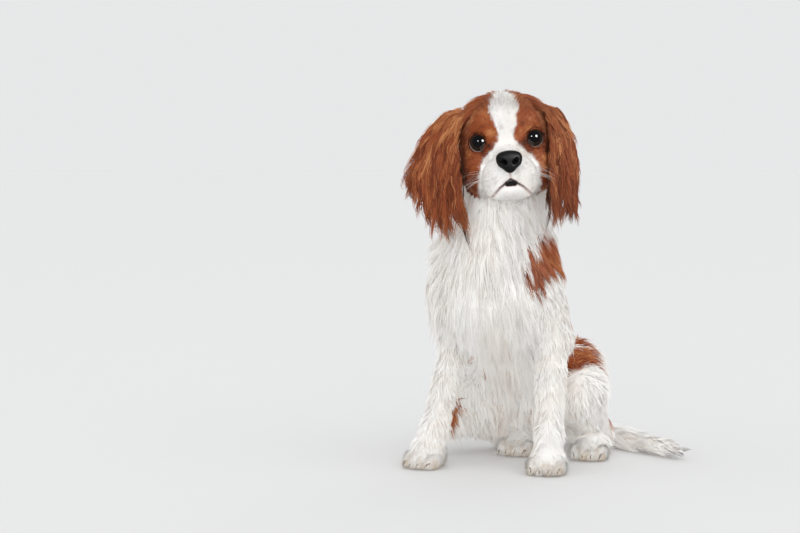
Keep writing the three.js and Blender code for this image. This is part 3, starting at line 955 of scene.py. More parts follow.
def clumped(draw, paths, normals, strands, spread, gather):
    """Strands of each clump, spread at the root and gathered towards the tip."""
    count, points, _ = paths.shape
    run = unit(paths[:, 2] - paths[:, 1])
    across = unit(np.cross(run, normals))
    a = draw.normal(size=(count, strands)) * spread
    b = draw.normal(size=(count, strands)) * spread * 0.35
    trim = 1 - 0.3 * draw.random((count, strands))
    keep = 1 - gather * np.linspace(0, 1, points) ** 0.8
    offset = a[..., None, None] * across[:, None, None] + b[..., None, None] * normals[:, None, None]
    grown = paths[:, None] + offset * keep[None, None, :, None]
    root = grown[:, :, :1]
    return (root + (grown - root) * trim[..., None, None]).reshape(count * strands, points, 3)


# Settings


class SpanielCoat(bpy.types.PropertyGroup):
    """How the coat grows."""

    short_length: bpy.props.FloatProperty(
        name="Short coat", description="Length of the body's short coat", default=0.014, unit="LENGTH"
    )
    face_length: bpy.props.FloatProperty(
        name="Face coat", description="Length of the hair on the face", default=0.0045, unit="LENGTH"
    )
    long_length: bpy.props.FloatProperty(
        name="Chest locks",
        description="Length of the locks on the chest and ruff",
        default=0.046,
        unit="LENGTH",
    )
    ear_length: bpy.props.FloatProperty(
        name="Ear locks", description="Length of the locks on the ears", default=0.046, unit="LENGTH"
    )
    short_tufts: bpy.props.IntProperty(
        name="Short tufts", description="Number of short tufts in each piece of coat", default=15000
    )
    voxel: bpy.props.FloatProperty(
        name="Skin faces", description="Size of the skin's faces", default=0.003, unit="LENGTH"
    )


class SpanielColours(bpy.types.PropertyGroup):
    """The colours of the dog."""

    white: bpy.props.FloatVectorProperty(
        name="White",
        description="White of the coat",
        default=(0.96, 0.945, 0.92),
        subtype="COLOR",
    )
    cream: bpy.props.FloatVectorProperty(
        name="Cream",
        description="Warm shade in the white",
        default=(0.69, 0.65, 0.625),
        subtype="COLOR",
    )
    chestnut: bpy.props.FloatVectorProperty(
        name="Chestnut",
        description="Chestnut of the coat",
        default=(0.33, 0.076, 0.022),
        subtype="COLOR",
    )
    deep: bpy.props.FloatVectorProperty(
        name="Deep chestnut",
        description="Chestnut at the roots",
        default=(0.13, 0.026, 0.009),
        subtype="COLOR",
    )
    gold: bpy.props.FloatVectorProperty(
        name="Gold",
        description="Chestnut at the tips",
        default=(0.56, 0.225, 0.085),
        subtype="COLOR",
    )
    stain: bpy.props.FloatVectorProperty(
        name="Stain",
        description="Cream stain by the toes and tail",
        default=(0.76, 0.62, 0.46),
        subtype="COLOR",
    )
    # The rims' colour is also the painted shade in the mouth's opening
    rims: bpy.props.FloatVectorProperty(
        name="Rims",
        description="Dark skin of the lids and lips",
        default=(0.014, 0.011, 0.011),
        subtype="COLOR",
    )
    pink: bpy.props.FloatVectorProperty(
        name="Pink skin",
        description="Bare skin",
        default=(0.72, 0.42, 0.36),
        subtype="COLOR",
    )


class SpanielStage(bpy.types.PropertyGroup):
    """The floor, the light and the camera."""

    lens: bpy.props.FloatProperty(name="Lens", description="Focal length in millimetres", default=78.75)
    floor_shade: bpy.props.FloatProperty(
        name="Floor shade", description="Grey of the floor", default=0.765, subtype="FACTOR"
    )
    key_power: bpy.props.FloatProperty(
        name="Key light", description="Strength of the main soft light", default=0.72
    )


def coat():
    """The settings of the coat."""
    return bpy.context.scene.spaniel_coat


def colours():
    """The settings of the colours."""
    return bpy.context.scene.spaniel_colours


# Shader nodes


def put(tree, socket, value):
    """Links an output to a socket, or sets the socket to a number or a colour."""
    if isinstance(value, bpy.types.NodeSocket):
        tree.links.new(value, socket)
    elif socket.type == "RGBA":
        socket.default_value = (*value, 1)
    else:
        socket.default_value = value


def set_inputs(tree, node, values):
    """Links or sets a node's inputs by their names."""
    for name, value in values.items():
        put(tree, node.inputs[name], value)


def add_node(tree, kind, values):
    """A new shader node with some inputs linked or set."""
    node = tree.nodes.new(f"ShaderNode{kind}")
    set_inputs(tree, node, values)
    return node


def mixed(tree, factor, a, b):
    """The first colour where the factor is 0 and the second where it is 1."""
    node = tree.nodes.new("ShaderNodeMix")
    node.data_type = "RGBA"
    set_inputs(tree, node, {"Factor": factor, "A": a, "B": b})
    return node.outputs["Result"]


def rising(tree, value, low, high):
    """0 up to a low value and 1 from a high one, smooth in between."""
    node = add_node(tree, "MapRange", {"Value": value, "From Min": low, "From Max": high})
    node.interpolation_type = "SMOOTHSTEP"
    return node.outputs["Result"]


def toned(tree, value, *stops):
    """A colour by a value, from stops of a place and a colour."""
    node = add_node(tree, "ValToRGB", {"Fac": value})
    ramp = node.color_ramp.elements
    for end, (place, colour) in ((ramp[0], stops[0]), (ramp[1], stops[-1])):
        end.position = place
        end.color = (*colour, 1)
    for place, colour in stops[1:-1]:
        ramp.new(place).color = (*colour, 1)
    return node.outputs["Color"]


def bumped(tree, height, strength, depth, sunk=False):
    """A normal from a height."""
    node = add_node(tree, "Bump", {"Strength": strength, "Distance": depth, "Height": height})
    node.invert = sunk
    return node.outputs["Normal"]


def object_place(tree):
    """The place on the object."""
    return tree.nodes.new("ShaderNodeTexCoord").outputs["Object"]


def kept_colour(tree, name):
    """The four values that vertices keep."""
    node = tree.nodes.new("ShaderNodeVertexColor")
    node.layer_name = name
    return node.outputs


def kept_value(tree, name):
    """The one value that vertices keep."""
    node = tree.nodes.new("ShaderNodeAttribute")
    node.attribute_name = name
    return node.outputs["Fac"]


def separated(tree, colour):
    """The red, green and blue of a colour."""
    return add_node(tree, "SeparateColor", {"Color": colour}).outputs


# Materials

COAT_COLOURS = ("White", "Cream", "Stain", "Chestnut", "Deep", "Gold")
IRIS = (0.020, 0.008, 0.004)


def new_material(name):
    """A material, its nodes and its Principled shader."""
    material = bpy.data.materials.new(name)
    material.use_nodes = True
    tree = material.node_tree
    return material, tree, tree.nodes["Principled BSDF"]


def coat_colour_group():
    """Colour of hair from its chestnut share, its own shade and the share along it."""
    group = bpy.data.node_groups.get("coat colour")
    if group is not None:
        return group
    group = bpy.data.node_groups.new("coat colour", "ShaderNodeTree")
    group.interface.new_socket("Marks", in_out="INPUT", socket_type="NodeSocketColor")
    group.interface.new_socket("Stained", in_out="INPUT", socket_type="NodeSocketFloat")
    for name in COAT_COLOURS:
        group.interface.new_socket(name, in_out="INPUT", socket_type="NodeSocketColor")
    group.interface.new_socket("Colour", in_out="OUTPUT", socket_type="NodeSocketColor")
    source = group.nodes.new("NodeGroupInput").outputs
    target = group.nodes.new("NodeGroupOutput").inputs
    marks = separated(group, source["Marks"])
    shade, along = marks["Green"], marks["Blue"]
    chestnut = mixed(group, rising(group, along, -0.2, 0.5), source["Deep"], source["Chestnut"])
    chestnut = mixed(group, rising(group, shade, -0.15, 0.45), source["Deep"], chestnut)
    chestnut = mixed(group, rising(group, shade, 0.45, 1.1), chestnut, source["Gold"])
    chestnut = mixed(group, rising(group, along, 0.6, 1.6), chestnut, source["Gold"])
    white = mixed(group, rising(group, shade, -0.05, 0.44), source["Cream"], source["White"])
    white = mixed(group, rising(group, source["Stained"], 0.1, 1.0), white, source["Stain"])
    put(group, target["Colour"], mixed(group, marks["Red"], white, chestnut))
    return group


def coat_colour(tree):
    """Places the coat's colour in a material and gives its output."""
    marks = kept_colour(tree, MARKS)
    group = tree.nodes.new("ShaderNodeGroup")
    group.node_tree = coat_colour_group()
    set_inputs(tree, group, {name: getattr(colours(), name.lower()) for name in COAT_COLOURS})
    set_inputs(tree, group, {"Marks": marks["Color"], "Stained": marks["Alpha"]})
    return group.outputs["Colour"]


def hair_material(name="hair", painted_glow_and_spread=0.06):
    """Silky hair, its colour by its root's markings, glowing faintly: painted light from hair to hair."""
    material = bpy.data.materials.get(name)
    if material is not None:
        return material
    material, tree, shader = new_material(name)
    colour = coat_colour(tree)
    settings = {
        "Base Color": colour,
        # painted light: the hair glows in its own colour, in place of the light that goes from hair to hair
        "Emission Color": colour,
        "Emission Strength": painted_glow_and_spread,
        "Roughness": 0.52,
        "Specular IOR Level": 0.2,
        "Sheen Weight": 0.08,
        "Sheen Roughness": 0.5,
    }
    set_inputs(tree, shader, settings)
    return material


def long_hair_material():
    """The same hair on the body, with more painted glow for the light that goes from hair to hair."""
    return hair_material("long hair", 0.2)


def skin_material():
    """Skin under the coat, with the coat's markings, dark rims, painted shade in the mouth's opening and
    pink bare skin.
    """
    material, tree, shader = new_material("skin")
    bare = separated(tree, kept_colour(tree, BARE)["Color"])
    colour = mixed(tree, bare["Green"], coat_colour(tree), colours().pink)
    colour = mixed(tree, bare["Red"], colour, colours().rims)
    grain = add_node(tree, "TexNoise", {"Vector": object_place(tree), "Scale": 900, "Detail": 4})
    settings = {
        "Base Color": colour,
        "Normal": bumped(tree, grain.outputs["Fac"], 0.35, 0.0006),
        "Roughness": 0.8,
        "Specular IOR Level": 0.12,
    }
    set_inputs(tree, shader, settings)
    return material


def nose_material():
    """Moist pebbled leather with painted shade: darker in the pebbles' grooves, and black inside the
    nostrils, which are dull.
    """
    material, tree, shader = new_material("nose leather")
    place = object_place(tree)
    pebbles = add_node(tree, "TexVoronoi", {"Vector": place, "Scale": 1150}).outputs["Distance"]
    hollow = kept_value(tree, HOLLOW)
    # painted shade: the grooves between the pebbles are darker than their tops
    leather = toned(tree, pebbles, (0, (0.013, 0.011, 0.011)), (1, (0.004, 0.004, 0.004)))
    rough = add_node(tree, "MapRange", {"Value": hollow, "To Min": 0.4, "To Max": 0.9})
    shine = add_node(tree, "MapRange", {"Value": hollow, "To Min": 0.35, "To Max": 0.02})
    settings = {
        # painted shade: the inside of the nostrils is nearly black
        "Base Color": mixed(tree, hollow, leather, (0.0008, 0.0006, 0.0006)),
        "Normal": bumped(tree, pebbles, 0.5, 0.0004, sunk=True),
        "Roughness": rough.outputs["Result"],
        "Specular IOR Level": shine.outputs["Result"],
    }
    set_inputs(tree, shader, settings)
    return material


def eye_material():
    """Dark pupil and iris and a thin pale rim, by the angle from the line of sight, under a wet surface."""
    material, tree, shader = new_material("eye")
    colour = toned(
        tree,
        kept_value(tree, GAZE),
        (0.30, (0.002, 0.002, 0.003)),
        (0.34, IRIS),
        (0.50, IRIS),
        (0.57, (0.004, 0.003, 0.003)),
        (0.66, (0.30, 0.26, 0.24)),
    )
    set_inputs(tree, shader, {"Base Color": colour, "Roughness": 0.04, "Specular IOR Level": 0.55})
    return material


def claw_material():
    """Dark horn in paler and darker streaks."""
    material, tree, shader = new_material("claw")
    streaks = add_node(tree, "TexNoise", {"Vector": object_place(tree), "Scale": 420})
    colour = toned(tree, streaks.outputs["Fac"], (0, (0.035, 0.02, 0.015)), (1, (0.16, 0.10, 0.07)))
    set_inputs(tree, shader, {"Base Color": colour, "Roughness": 0.35})
    return material


def whisker_material():
    """Pale, stiff hair."""
    material, tree, shader = new_material("whisker")
    shade = separated(tree, kept_colour(tree, MARKS)["Color"])["Green"]
    colour = toned(tree, shade, (0, (0.5, 0.44, 0.4)), (1, (0.92, 0.9, 0.88)))
    set_inputs(tree, shader, {"Base Color": colour, "Roughness": 0.4})
    return material


# Pieces

LIMBS = ("forearm", "upper_arm", "forepaw", "thigh", "shank", "hindpaw")
LIMB_NODES = [f"{part}_{side}" for part in LIMBS for side in ("left", "right")]
FLESH = ["head", "neck", "torso", *LIMB_NODES, "tail"]


class SPANIEL_OT_skin(bpy.types.Operator):
    """One skin over the whole body, with lids, lips and the line of the mouth"""

    bl_idname = "spaniel.skin"
    bl_label = "Skin"

    def execute(self, context):
        clear_selection()
        made = []
        for masses, _, on_head in REGIONS.values():
            for mass in masses:
                made += mass_spheres(mass, on_head)
        skin = remeshed(made, "skin", coat().voxel)
        settle(skin, body_field, 4)
        for reach in (None, 5.5):
            self.refine_face(skin, reach)
            places = settle(skin, detailed_field, 4)
        places[:, 2] = np.maximum(places[:, 2], 0.05)
        set_coordinates(skin, metres(places))
        smooth_faces(skin)
        unwrap(skin)
        self.paint(skin, places)
        finished(skin, skin_material(), "white_coat", *FLESH)
        return {"FINISHED"}

    def refine_face(self, skin, reach):
        """Finer faces over the front of the head, or within reach of the lids and the mouth."""
        local = to_head(coordinates(skin) / MM - SHIFT)
        x, y, z = local.T
        front = (y < 14) & (z > -70) & (z < 24) & (np.abs(x) < 48)
        if reach is not None:
            rims = np.minimum(lid_ring(-1, local), lid_ring(1, local))
            front &= np.minimum(rims, lip_distance(local)) < reach
        select([skin])
        skin.data.vertices.foreach_set("select", front)
        skin.data.edges.foreach_set("select", np.zeros(len(skin.data.edges), bool))
        skin.data.polygons.foreach_set("select", np.zeros(len(skin.data.polygons), bool))
        bpy.ops.object.mode_set(mode="EDIT")
        bpy.ops.mesh.select_mode(type="VERT")
        bpy.ops.mesh.select_mode(type="FACE")
        bpy.ops.mesh.subdivide(number_cuts=1)
        bpy.ops.mesh.select_all(action="SELECT")
        bpy.ops.mesh.quads_convert_to_tris()
        bpy.ops.object.mode_set(mode="OBJECT")

    def paint(self, skin, places):
        """Markings over the skin, and where it is dark or pink."""
        region = np.argmin(region_fields(places), axis=0)
        marks = np.ones((len(places), 4))
        marks[:, 0] = chestnut_share(places, region)
        marks[:, 1] = np.clip(own_shade(places, region), 0, 1)
        marks[:, 2] = 0.4
        marks[:, 3] = stain(places, region)
        mark(skin, MARKS, marks)
        local = to_head(places)
        lips = lip_distance(local)
        groin = reach_of(places, (14, 96, 52), (34, 30, 26))
        on_head = among(region, "head")
        bare = np.zeros((len(places), 4))
        bare[:, 0] = np.where(on_head, self.dark_rims(local, lips), 0)
        bare[:, 1] = np.where(on_head, fade(lips, 2.2, 0.8) * 0.35, 0)
        bare[:, 1] = np.maximum(bare[:, 1], np.clip(1.3 - groin, 0, 1) * 0.6)
        bare[:, 3] = 1
        mark(skin, BARE, bare)

    def dark_rims(self, local, lips):
        """How dark the lids, eyes' inner corners and mouth's line are: dark skin, with painted shade in the
        mouth's opening.
        """
        dark = np.zeros(len(local))
        for side in (-1, 1):
            reach, depth = lid_frame(side, local)
            rim = np.clip((LID_RADIUS + 1.0 - reach) / 1.3 + 0.5, 0, 1) * (depth < 8) * (depth > -6)
            dark = np.maximum(dark, rim)
        corner = reach_of(folded_over(local), (19.5, -5, -4), (3.2, 5, 3))
        dark = np.maximum(dark, np.clip(1.2 - corner, 0, 1) * 0.9)
        faint = (1 - 0.5 * fade(np.abs(local[:, 0]), 7, 19)) * np.where(local[:, 2] > -41, 0.3, 1)
        # the lips are dark skin; in the mouth's opening the same dark is painted shade
        return np.maximum(dark, fade(lips, 0.7, 0.1) * faint)


class SPANIEL_OT_ears(bpy.types.Operator):
    """The leathers of the ears, thin and cupped"""

    bl_idname = "spaniel.ears"
    bl_label = "Ears"

    def execute(self, context):
        for name, ear in EARS.items():
            clear_selection()
            bpy.ops.mesh.primitive_uv_sphere_add(segments=40, ring_count=28, radius=1)
            leather = context.object
            leather.name = leather.data.name = f"ear_leather_{name}"
            x, y, z = coordinates(leather).T
            reach = np.hypot(x, y)
            spread = reach**0.45 / np.maximum(reach, 1e-6)
            thick = EAR_THICKNESS / 2 - 0.6
            places = ear_points(ear, 0.53 - 0.5 * z, x * spread * 0.86, y * spread * thick)
            set_coordinates(leather, metres(places))
            edit_all(leather, bpy.ops.mesh.normals_make_consistent, inside=False)
            smooth_faces(leather)
            unwrap(leather)
            mark(leather, MARKS, np.tile((1.0, 0.25, 0.2, 0.0), (len(places), 1)))
            finished(leather, hair_material(), "chestnut_coat", f"ear_{name}")
        return {"FINISHED"}


class SPANIEL_OT_eyes(bpy.types.Operator):
    """Eyeballs with a domed cornea"""

    bl_idname = "spaniel.eyes"
    bl_label = "Eyes"

    def execute(self, context):
        material = eye_material()
        for name, side in (("left", 1), ("right", -1)):
            clear_selection()
            bpy.ops.mesh.primitive_uv_sphere_add(segments=48, ring_count=48, radius=1)
            ball = context.object
            ball.name = ball.data.name = f"eyeball_{name}"
            places = coordinates(ball)
            angle = np.arccos(np.clip(places[:, 2], -1, 1))
            dome = 1 + 0.04 * np.clip(1 - (angle / 0.82) ** 2, 0, 1)
            look = unit(np.array([side * 0.17, -1.0, 0.07])) @ HEAD_TURN.T
            turn = np.array(Vector(look).to_track_quat("Z", "Y").to_matrix())
            places = places * (dome * (EYE_RADIUS - 0.15))[:, None] @ turn.T
            high = np.clip(0.45 + 1.4 * (places @ HEAD_TURN)[:, 2] / EYE_RADIUS, 0, 1)
            set_coordinates(ball, metres(places + from_head(eye_place(side))))
            smooth_faces(ball)
            mark_value(ball, GAZE, angle / 1.6 - 0.09 * high)
            unwrap(ball)
            finished(ball, material, "eye", f"eye_{name}")
        return {"FINISHED"}


class SPANIEL_OT_nose(bpy.types.Operator):
    """The nose, with its nostrils"""

    bl_idname = "spaniel.nose"
    bl_label = "Nose"

    def execute(self, context):
        clear_selection()
        made = []
        for mass in NOSE:
            made += mass_spheres(mass, True)
        nose = remeshed(made, "nose_pad", 0.0006)
        places = settle(nose, nose_field, 6)
        smooth_faces(nose)
        unwrap(nose)
        # How far inside a nostril each vertex is, where the leather gets painted shade and is dull
        hollow = np.clip(0.9 - np.minimum(*nostril_distances(to_head(places))), 0, 1)
        mark_value(nose, HOLLOW, hollow)
        finished(nose, nose_material(), "nose_leather", "nose")
        return {"FINISHED"}


class SPANIEL_OT_claws(bpy.types.Operator):
    """Sixteen curved claws, one in each toe"""

    bl_idname = "spaniel.claws"
    bl_label = "Claws"

    def execute(self, context):
        made = []
        nodes = []
        for end, legs in ENDS.items():
            for side, joints in legs.items():
                for number, place in enumerate(TOES, 1):
                    made.append(self.claw(joints, place))
                    nodes.append(f"claw_{end}_{side}_{number}")
        select(made)
        bpy.ops.object.join()
        claws = context.object
        claws.name = claws.data.name = "claws"
        smooth_faces(claws)
        unwrap(claws)
        finished(claws, claw_material(), "horn", *nodes)
        return {"FINISHED"}

    def claw(self, joints, place):
        """One claw, bent down towards its tip."""
        clear_selection()
        bpy.ops.mesh.primitive_cone_add(vertices=12, radius1=1, radius2=0.12, depth=1)
        piece = bpy.context.object
        edit_all(piece, bpy.ops.mesh.subdivide, number_cuts=3)
        x, y, z = coordinates(piece).T
        share = z + 0.5
        local = np.stack([1.9 * x, -7.4 * share - 0.4, 2.2 * y - 4.2 * share**1.8], axis=1)
        turn = turn_of(0, joints["toe"]) @ turn_of(0, -7 * place)
        at = turn_of(0, joints["toe"]) @ (place * TOE_PITCH, -22 + 3 * abs(place), 8.4)
        places = local @ turn.T + at + (*joints["paw"], 0)
        places[:, 2] = np.maximum(places[:, 2], 0.3)
        set_coordinates(piece, metres(places))
        edit_all(piece, bpy.ops.mesh.normals_make_consistent, inside=False)
        return piece


# Short coat


def hair_length(points, region):
    """The length of the short coat by place, in millimetres."""
    local = to_head(points)
    whole = coat().short_length / MM
    longer = np.maximum(fade(local[:, 1], 8, 32), 0.9 * fade(local[:, 2], 26, 44))
    length = coat().face_length / MM * (0.75 + 1.9 * longer)
    length *= np.clip(0.3 + lip_distance(local) / 12, 0.3, 1)
    length = np.where(among(region, "head"), length, whole)
    for share, names in ((0.62, PAWS), (0.85, UPPER_FORELEGS), (1.3, ["neck"])):
        length = np.where(among(region, *names), share * whole, length)
    return length


def stand_share(points, region):
    """How much more the coat stands out, most on the crown and the sides of the skull."""
    x, y, z = to_head(points).T
    side = fade(np.abs(x), 30, 40) * fade(z, -10, 4) * fade(y, 6, 18)
    return np.where(among(region, "head"), 1 + 0.4 * np.maximum(fade(z, 22, 44), 0.8 * side), 1)


def coat_chance(skin):
    """Where the coat grows: not on the eyes, lids, nose, lips or soles."""
    grows = np.ones(len(skin.area))
    local = to_head(skin.centre)
    for side in (-1, 1):
        reach, depth = lid_frame(side, local)
        grows[(reach < LID_RADIUS + 0.9) & (depth < 12)] = 0
    grows[blended(NOSE, NOSE_BLEND, local) < 1.2] = 0
    grows[(lip_distance(local) < 0.9) & among(skin.region, "head")] = 0
    grows[skin.centre[:, 2] < 1.2] = 0
    return grows


def clear_of_openings(paths, region):
    """Which tufts lie neither over the mouth nor over the eyes."""
    lowest = np.full(len(paths), 9.0)
    for place in range(paths.shape[1]):
        local = to_head(paths[:, place])
        lowest = np.minimum(lowest, lip_distance(local) - 0.7)
        for side in (-1, 1):
            reach, depth = lid_frame(side, local)
            lowest = np.minimum(lowest, np.maximum(reach - LID_RADIUS - 0.2, depth - 10))
    return (lowest > 0) | ~among(region, "head")


def hair_look(draw, roots, region, painted_glow_and_spread):
    """Chestnut share, shade and stain of tufts by their roots, in streaks along the lie, and painted shade
    on the head.
    """
    lie = lie_of(roots, region)
    aside = roots - 0.8 * (roots * lie).sum(axis=1)[:, None] * lie
    shade = own_shade(roots, region) + 0.5 * (patchy(aside, 3.2, 41) - 0.5)
    shade = shade + draw.normal(size=len(roots)) * painted_glow_and_spread
    chestnut = chestnut_share(roots, region)
    # painted shade: on the head the coat is darker, its white most of all, and darker still low on the
    # muzzle
    low = fade(to_head(roots)[:, 2], 24, 4)
    darker = (0.36 + 0.42 * low) * (1 - chestnut) + 0.16 * chestnut
    return chestnut, shade - np.where(among(region, "head"), darker, 0), stain(roots, region)


def face_weight(points):
    """The face, back to the ears."""
    return (to_head(points)[:, 1] < 20) * 1.0


def crown_weight(points):
    """The head behind the face."""
    return (to_head(points)[:, 1] > 6) * 1.0


def front_weight(points):
    """The forelegs and the front of the body."""
    return (points[:, 1] < 60) * np.where(points[:, 2] < 150, 1.6, 0.8)


def back_weight(points):
    """The back half of the body."""
    return (points[:, 1] >= 60) * 1.0


def even_weight(points):
    """All over."""
    return np.ones(len(points))


# Each piece of short coat: name, regions, share of the tufts, how far they stand out, whether they bend,
# and where they are thicker
SHORT_COAT = (
    ("coat_face", ["head"], 2.6, 0.20, False, face_weight),
    ("coat_crown", ["head"], 0.6, 0.26, True, crown_weight),
    ("coat_neck", ["neck"], 0.2, 0.3, True, even_weight),
    ("coat_front", ["torso", *UPPER_FORELEGS], 0.75, 0.3, True, front_weight),
    ("coat_back", ["torso"], 0.45, 0.25, True, back_weight),
    ("coat_hindlegs", UPPER_HINDLEGS, 0.4, 0.25, True, even_weight),
    ("coat_paws", PAWS, 0.9, 0.38, False, even_weight),
)


class SPANIEL_OT_short_coat(bpy.types.Operator):
    """Short tufts that lie along the body, smallest on the face and feet"""

    bl_idname = "spaniel.short_coat"
    bl_label = "Short coat"

    def execute(self, context):
        for seed, piece in enumerate(SHORT_COAT):
            self.grow(seed, *piece)
        return {"FINISHED"}

    def grow(self, seed, name, regions, share, stand, bend, weight):
        """A piece of short coat over some regions of the skin; tufts that bend have a joint half-way."""
        draw = np.random.default_rng(SEED + seed)
        skin = skin_of("skin")
        tufts = int(coat().short_tufts * share)
        chance = coat_chance(skin) * among(skin.region, *regions) * weight(skin.centre)
        roots, out, uv, region = skin.roots(draw, tufts, chance)
        length = hair_length(roots, region) * draw.uniform(0.7, 1.25, tufts)
        lie = unit(lie_of(roots, region) + draw.normal(size=roots.shape) * 0.17)
        stands = stand * draw.uniform(0.4, 1.6, tufts) * stand_share(roots, region)
        paths = short_paths(roots, out, lie, length, stands)
        clear = clear_of_openings(paths[:, 1:], region)
        paths, out, uv, region, length, roots = (v[clear] for v in (paths, out, uv, region, length, roots))
        if not bend:
            paths = paths[:, (0, 2)]
        paths[..., 2] = np.maximum(paths[..., 2], 0.4)
        width = np.clip(length * 0.1, 0.75, 1.2) * draw.uniform(0.8, 1.2, len(roots))
        look = hair_look(draw, roots, region, 0.3)
        material = hair_material() if "head" in regions else long_hair_material()
        finished(hair_mesh(name, paths, width, out, uv, look), material, "white_coat")


# Long coat


def fullness(points):
    """How much further the long coat stands out, most at the right side of the neck and shoulder."""
    x, _, z = points.T
    neck = fade(z, 228, 252) * fade(z, 318, 294)
    shoulder = fade(z, 150, 170) * fade(z, 232, 212)
    return 1 + fade(x, -12, -34) * (1.7 * neck + 1.9 * shoulder)


def ruff_area(points, region, out):
    """The neck and throat."""
    return among(region, "neck") * fade(points[:, 2], 342, 318)


def chest_area(points, region, out):
    """The chest between the forelegs and the front of the shoulders."""
    return among(region, "torso") * fade(points[:, 1], 30, 10) * fade(points[:, 2], 96, 116)


def belly_area(points, region, out):
    """The belly and the brisket, where the coat hangs."""
    under = np.clip(-out[:, 2] * 1.5 + 0.4, 0, 1) * np.clip(-out[:, 1] + 0.5, 0, 1)
    return among(region, "torso") * under * (points[:, 2] < 190)


def feather_area(points, region, out):
    """The backs of the forelegs, the elbows and the right shoulder."""
    back = np.clip(out[:, 1] * 1.4 + 0.1, 0, 1)
    shoulder = np.clip(-out[:, 0] * 1.4 - 0.2, 0, 1) * fade(points[:, 2], 150, 165)
    back = np.maximum(back, shoulder * (points[:, 0] < 0))
    return among(region, *UPPER_FORELEGS) * back * fade(points[:, 2], 34, 64)


def breeches_area(points, region, out):
    """The rumps and the backs of the thighs, and the flanks."""
    thighs = among(region, *UPPER_HINDLEGS) * (points[:, 2] > 28)
    return thighs + 0.7 * among(region, "torso") * fade(points[:, 1], 90, 130)


def tail_area(points, region, out):
    """All along the tail."""
    return among(region, "tail")


def temple_area(points, region, out):
    """The edges of the crown, above the foot of each ear."""
    x, y, z = to_head(points).T
    aside = fade(np.abs(x), 12, 16) * fade(np.abs(x), 38, 32)
    return among(region, "head") * aside * fade(z, 30, 38) * fade(y, 10, 20)


def chest_length(points):
    """The chest's locks, longest low on the breast and short over the shoulders."""
    by_height = np.interp(points[:, 2], (100, 190, 290, 335), (0.95, 1.1, 0.8, 0.35))
    aside = fade(np.abs(points[:, 0] - 4), 34, 60)
    return coat().long_length / MM * by_height * (1 - 0.5 * aside)


def feather_length(points):
    """The legs' feathering, longest near the elbow."""
    return coat().long_length / MM * np.interp(points[:, 2], (30, 140, 200), (0.4, 0.85, 0.6))


def breeches_length(points):
    """The coat on thighs and rump."""
    return np.full(len(points), coat().long_length / MM * 0.62)


def tail_length(points):
    """The tail's feathering, shorter towards its tip."""
    return np.interp(points[:, 0], (0, 60, 150, 190), (30, 40, 26, 16))


def temple_length(points):
    """The locks over the foot of each ear."""
    return np.full(len(points), 31.0)


# The tail's locks are thick and loose, and lit from above
TAIL_LOCKS = {"width": 1.1, "gather": 0.45, "upward": 0.8}
TEMPLE_LOCKS = {"width": 0.85, "way": temple_lie}

# Each piece of long coat: name, clumps, strands in each, where it grows and how long, lift off the skin,
# droop, spread of the strands, and what else sets it apart
LONG_COAT = (
    ("locks_ruff", 570, 12, ruff_area, chest_length, 4, 0.8, 2.8, {}),
    ("locks_chest", 570, 12, chest_area, chest_length, 3.2, 0.9, 2.8, {}),
    ("locks_belly", 250, 12, belly_area, chest_length, 2.5, 1.1, 2.6, {}),
    ("locks_forelegs", 320, 10, feather_area, feather_length, 2.2, 0.7, 2.0, {"width": 0.85}),
    ("locks_thighs", 420, 10, breeches_area, breeches_length, 2.2, 0.6, 2.6, {"width": 0.9}),
    ("locks_tail", 340, 10, tail_area, tail_length, 3.8, 0.1, 3.0, TAIL_LOCKS),
    ("locks_temples", 170, 10, temple_area, temple_length, 5.5, 0.3, 2.6, TEMPLE_LOCKS),
)


class SPANIEL_OT_long_coat(bpy.types.Operator):
    """Locks on the ruff, chest, belly, legs, tail and temples"""

    bl_idname = "spaniel.long_coat"
    bl_label = "Long coat"

    def execute(self, context):
        for seed, (name, clumps, strands, where, length, lift, droop, spread, more) in enumerate(LONG_COAT):
            draw = np.random.default_rng(SEED + 50 + seed)
            skin = skin_of("skin")
            rooted = skin.roots(draw, clumps, where(skin.centre, skin.region, skin.out))
            self.grow(name, draw, rooted, strands, length, lift, droop, spread, **more)
        return {"FINISHED"}

    def grow(
        self,
        name,
        draw,
        rooted,
        strands,
        length,
        lift,
        droop,
        spread,
        width=0.95,
        gather=0.7,
        way=lie_of,
        upward=0,
    ):
        """A piece of long coat: a clump of strands at each root."""
        roots, out, uv, region = rooted
        clumps = len(roots)
        long = length(roots) * draw.uniform(0.7, 1.2, clumps)
        lie = unit(way(roots, region) + draw.normal(size=roots.shape) * 0.16)
        lifts = lift * draw.uniform(0.4, 1.6, clumps) * fullness(roots)
        droops = droop * draw.uniform(0.5, 1.3, clumps)
        wave = draw.normal(size=clumps) * 1.5
        guides, ways = long_paths(roots, out, lie, long, lifts, droops, wave)
        ways = unit(ways - upward * DOWN)
        paths = clumped(draw, guides, out, strands, spread, gather)
        paths[..., 2] = np.maximum(paths[..., 2], 0.8)
        each = np.repeat(np.arange(clumps), strands)
        widths = width * draw.uniform(0.6, 1.3, len(each))
        look = hair_look(draw, roots[each], region[each], 0.15)
        piece = hair_mesh(name, paths, widths, ways[each], uv[each], look)
        finished(piece, long_hair_material(), "white_coat")


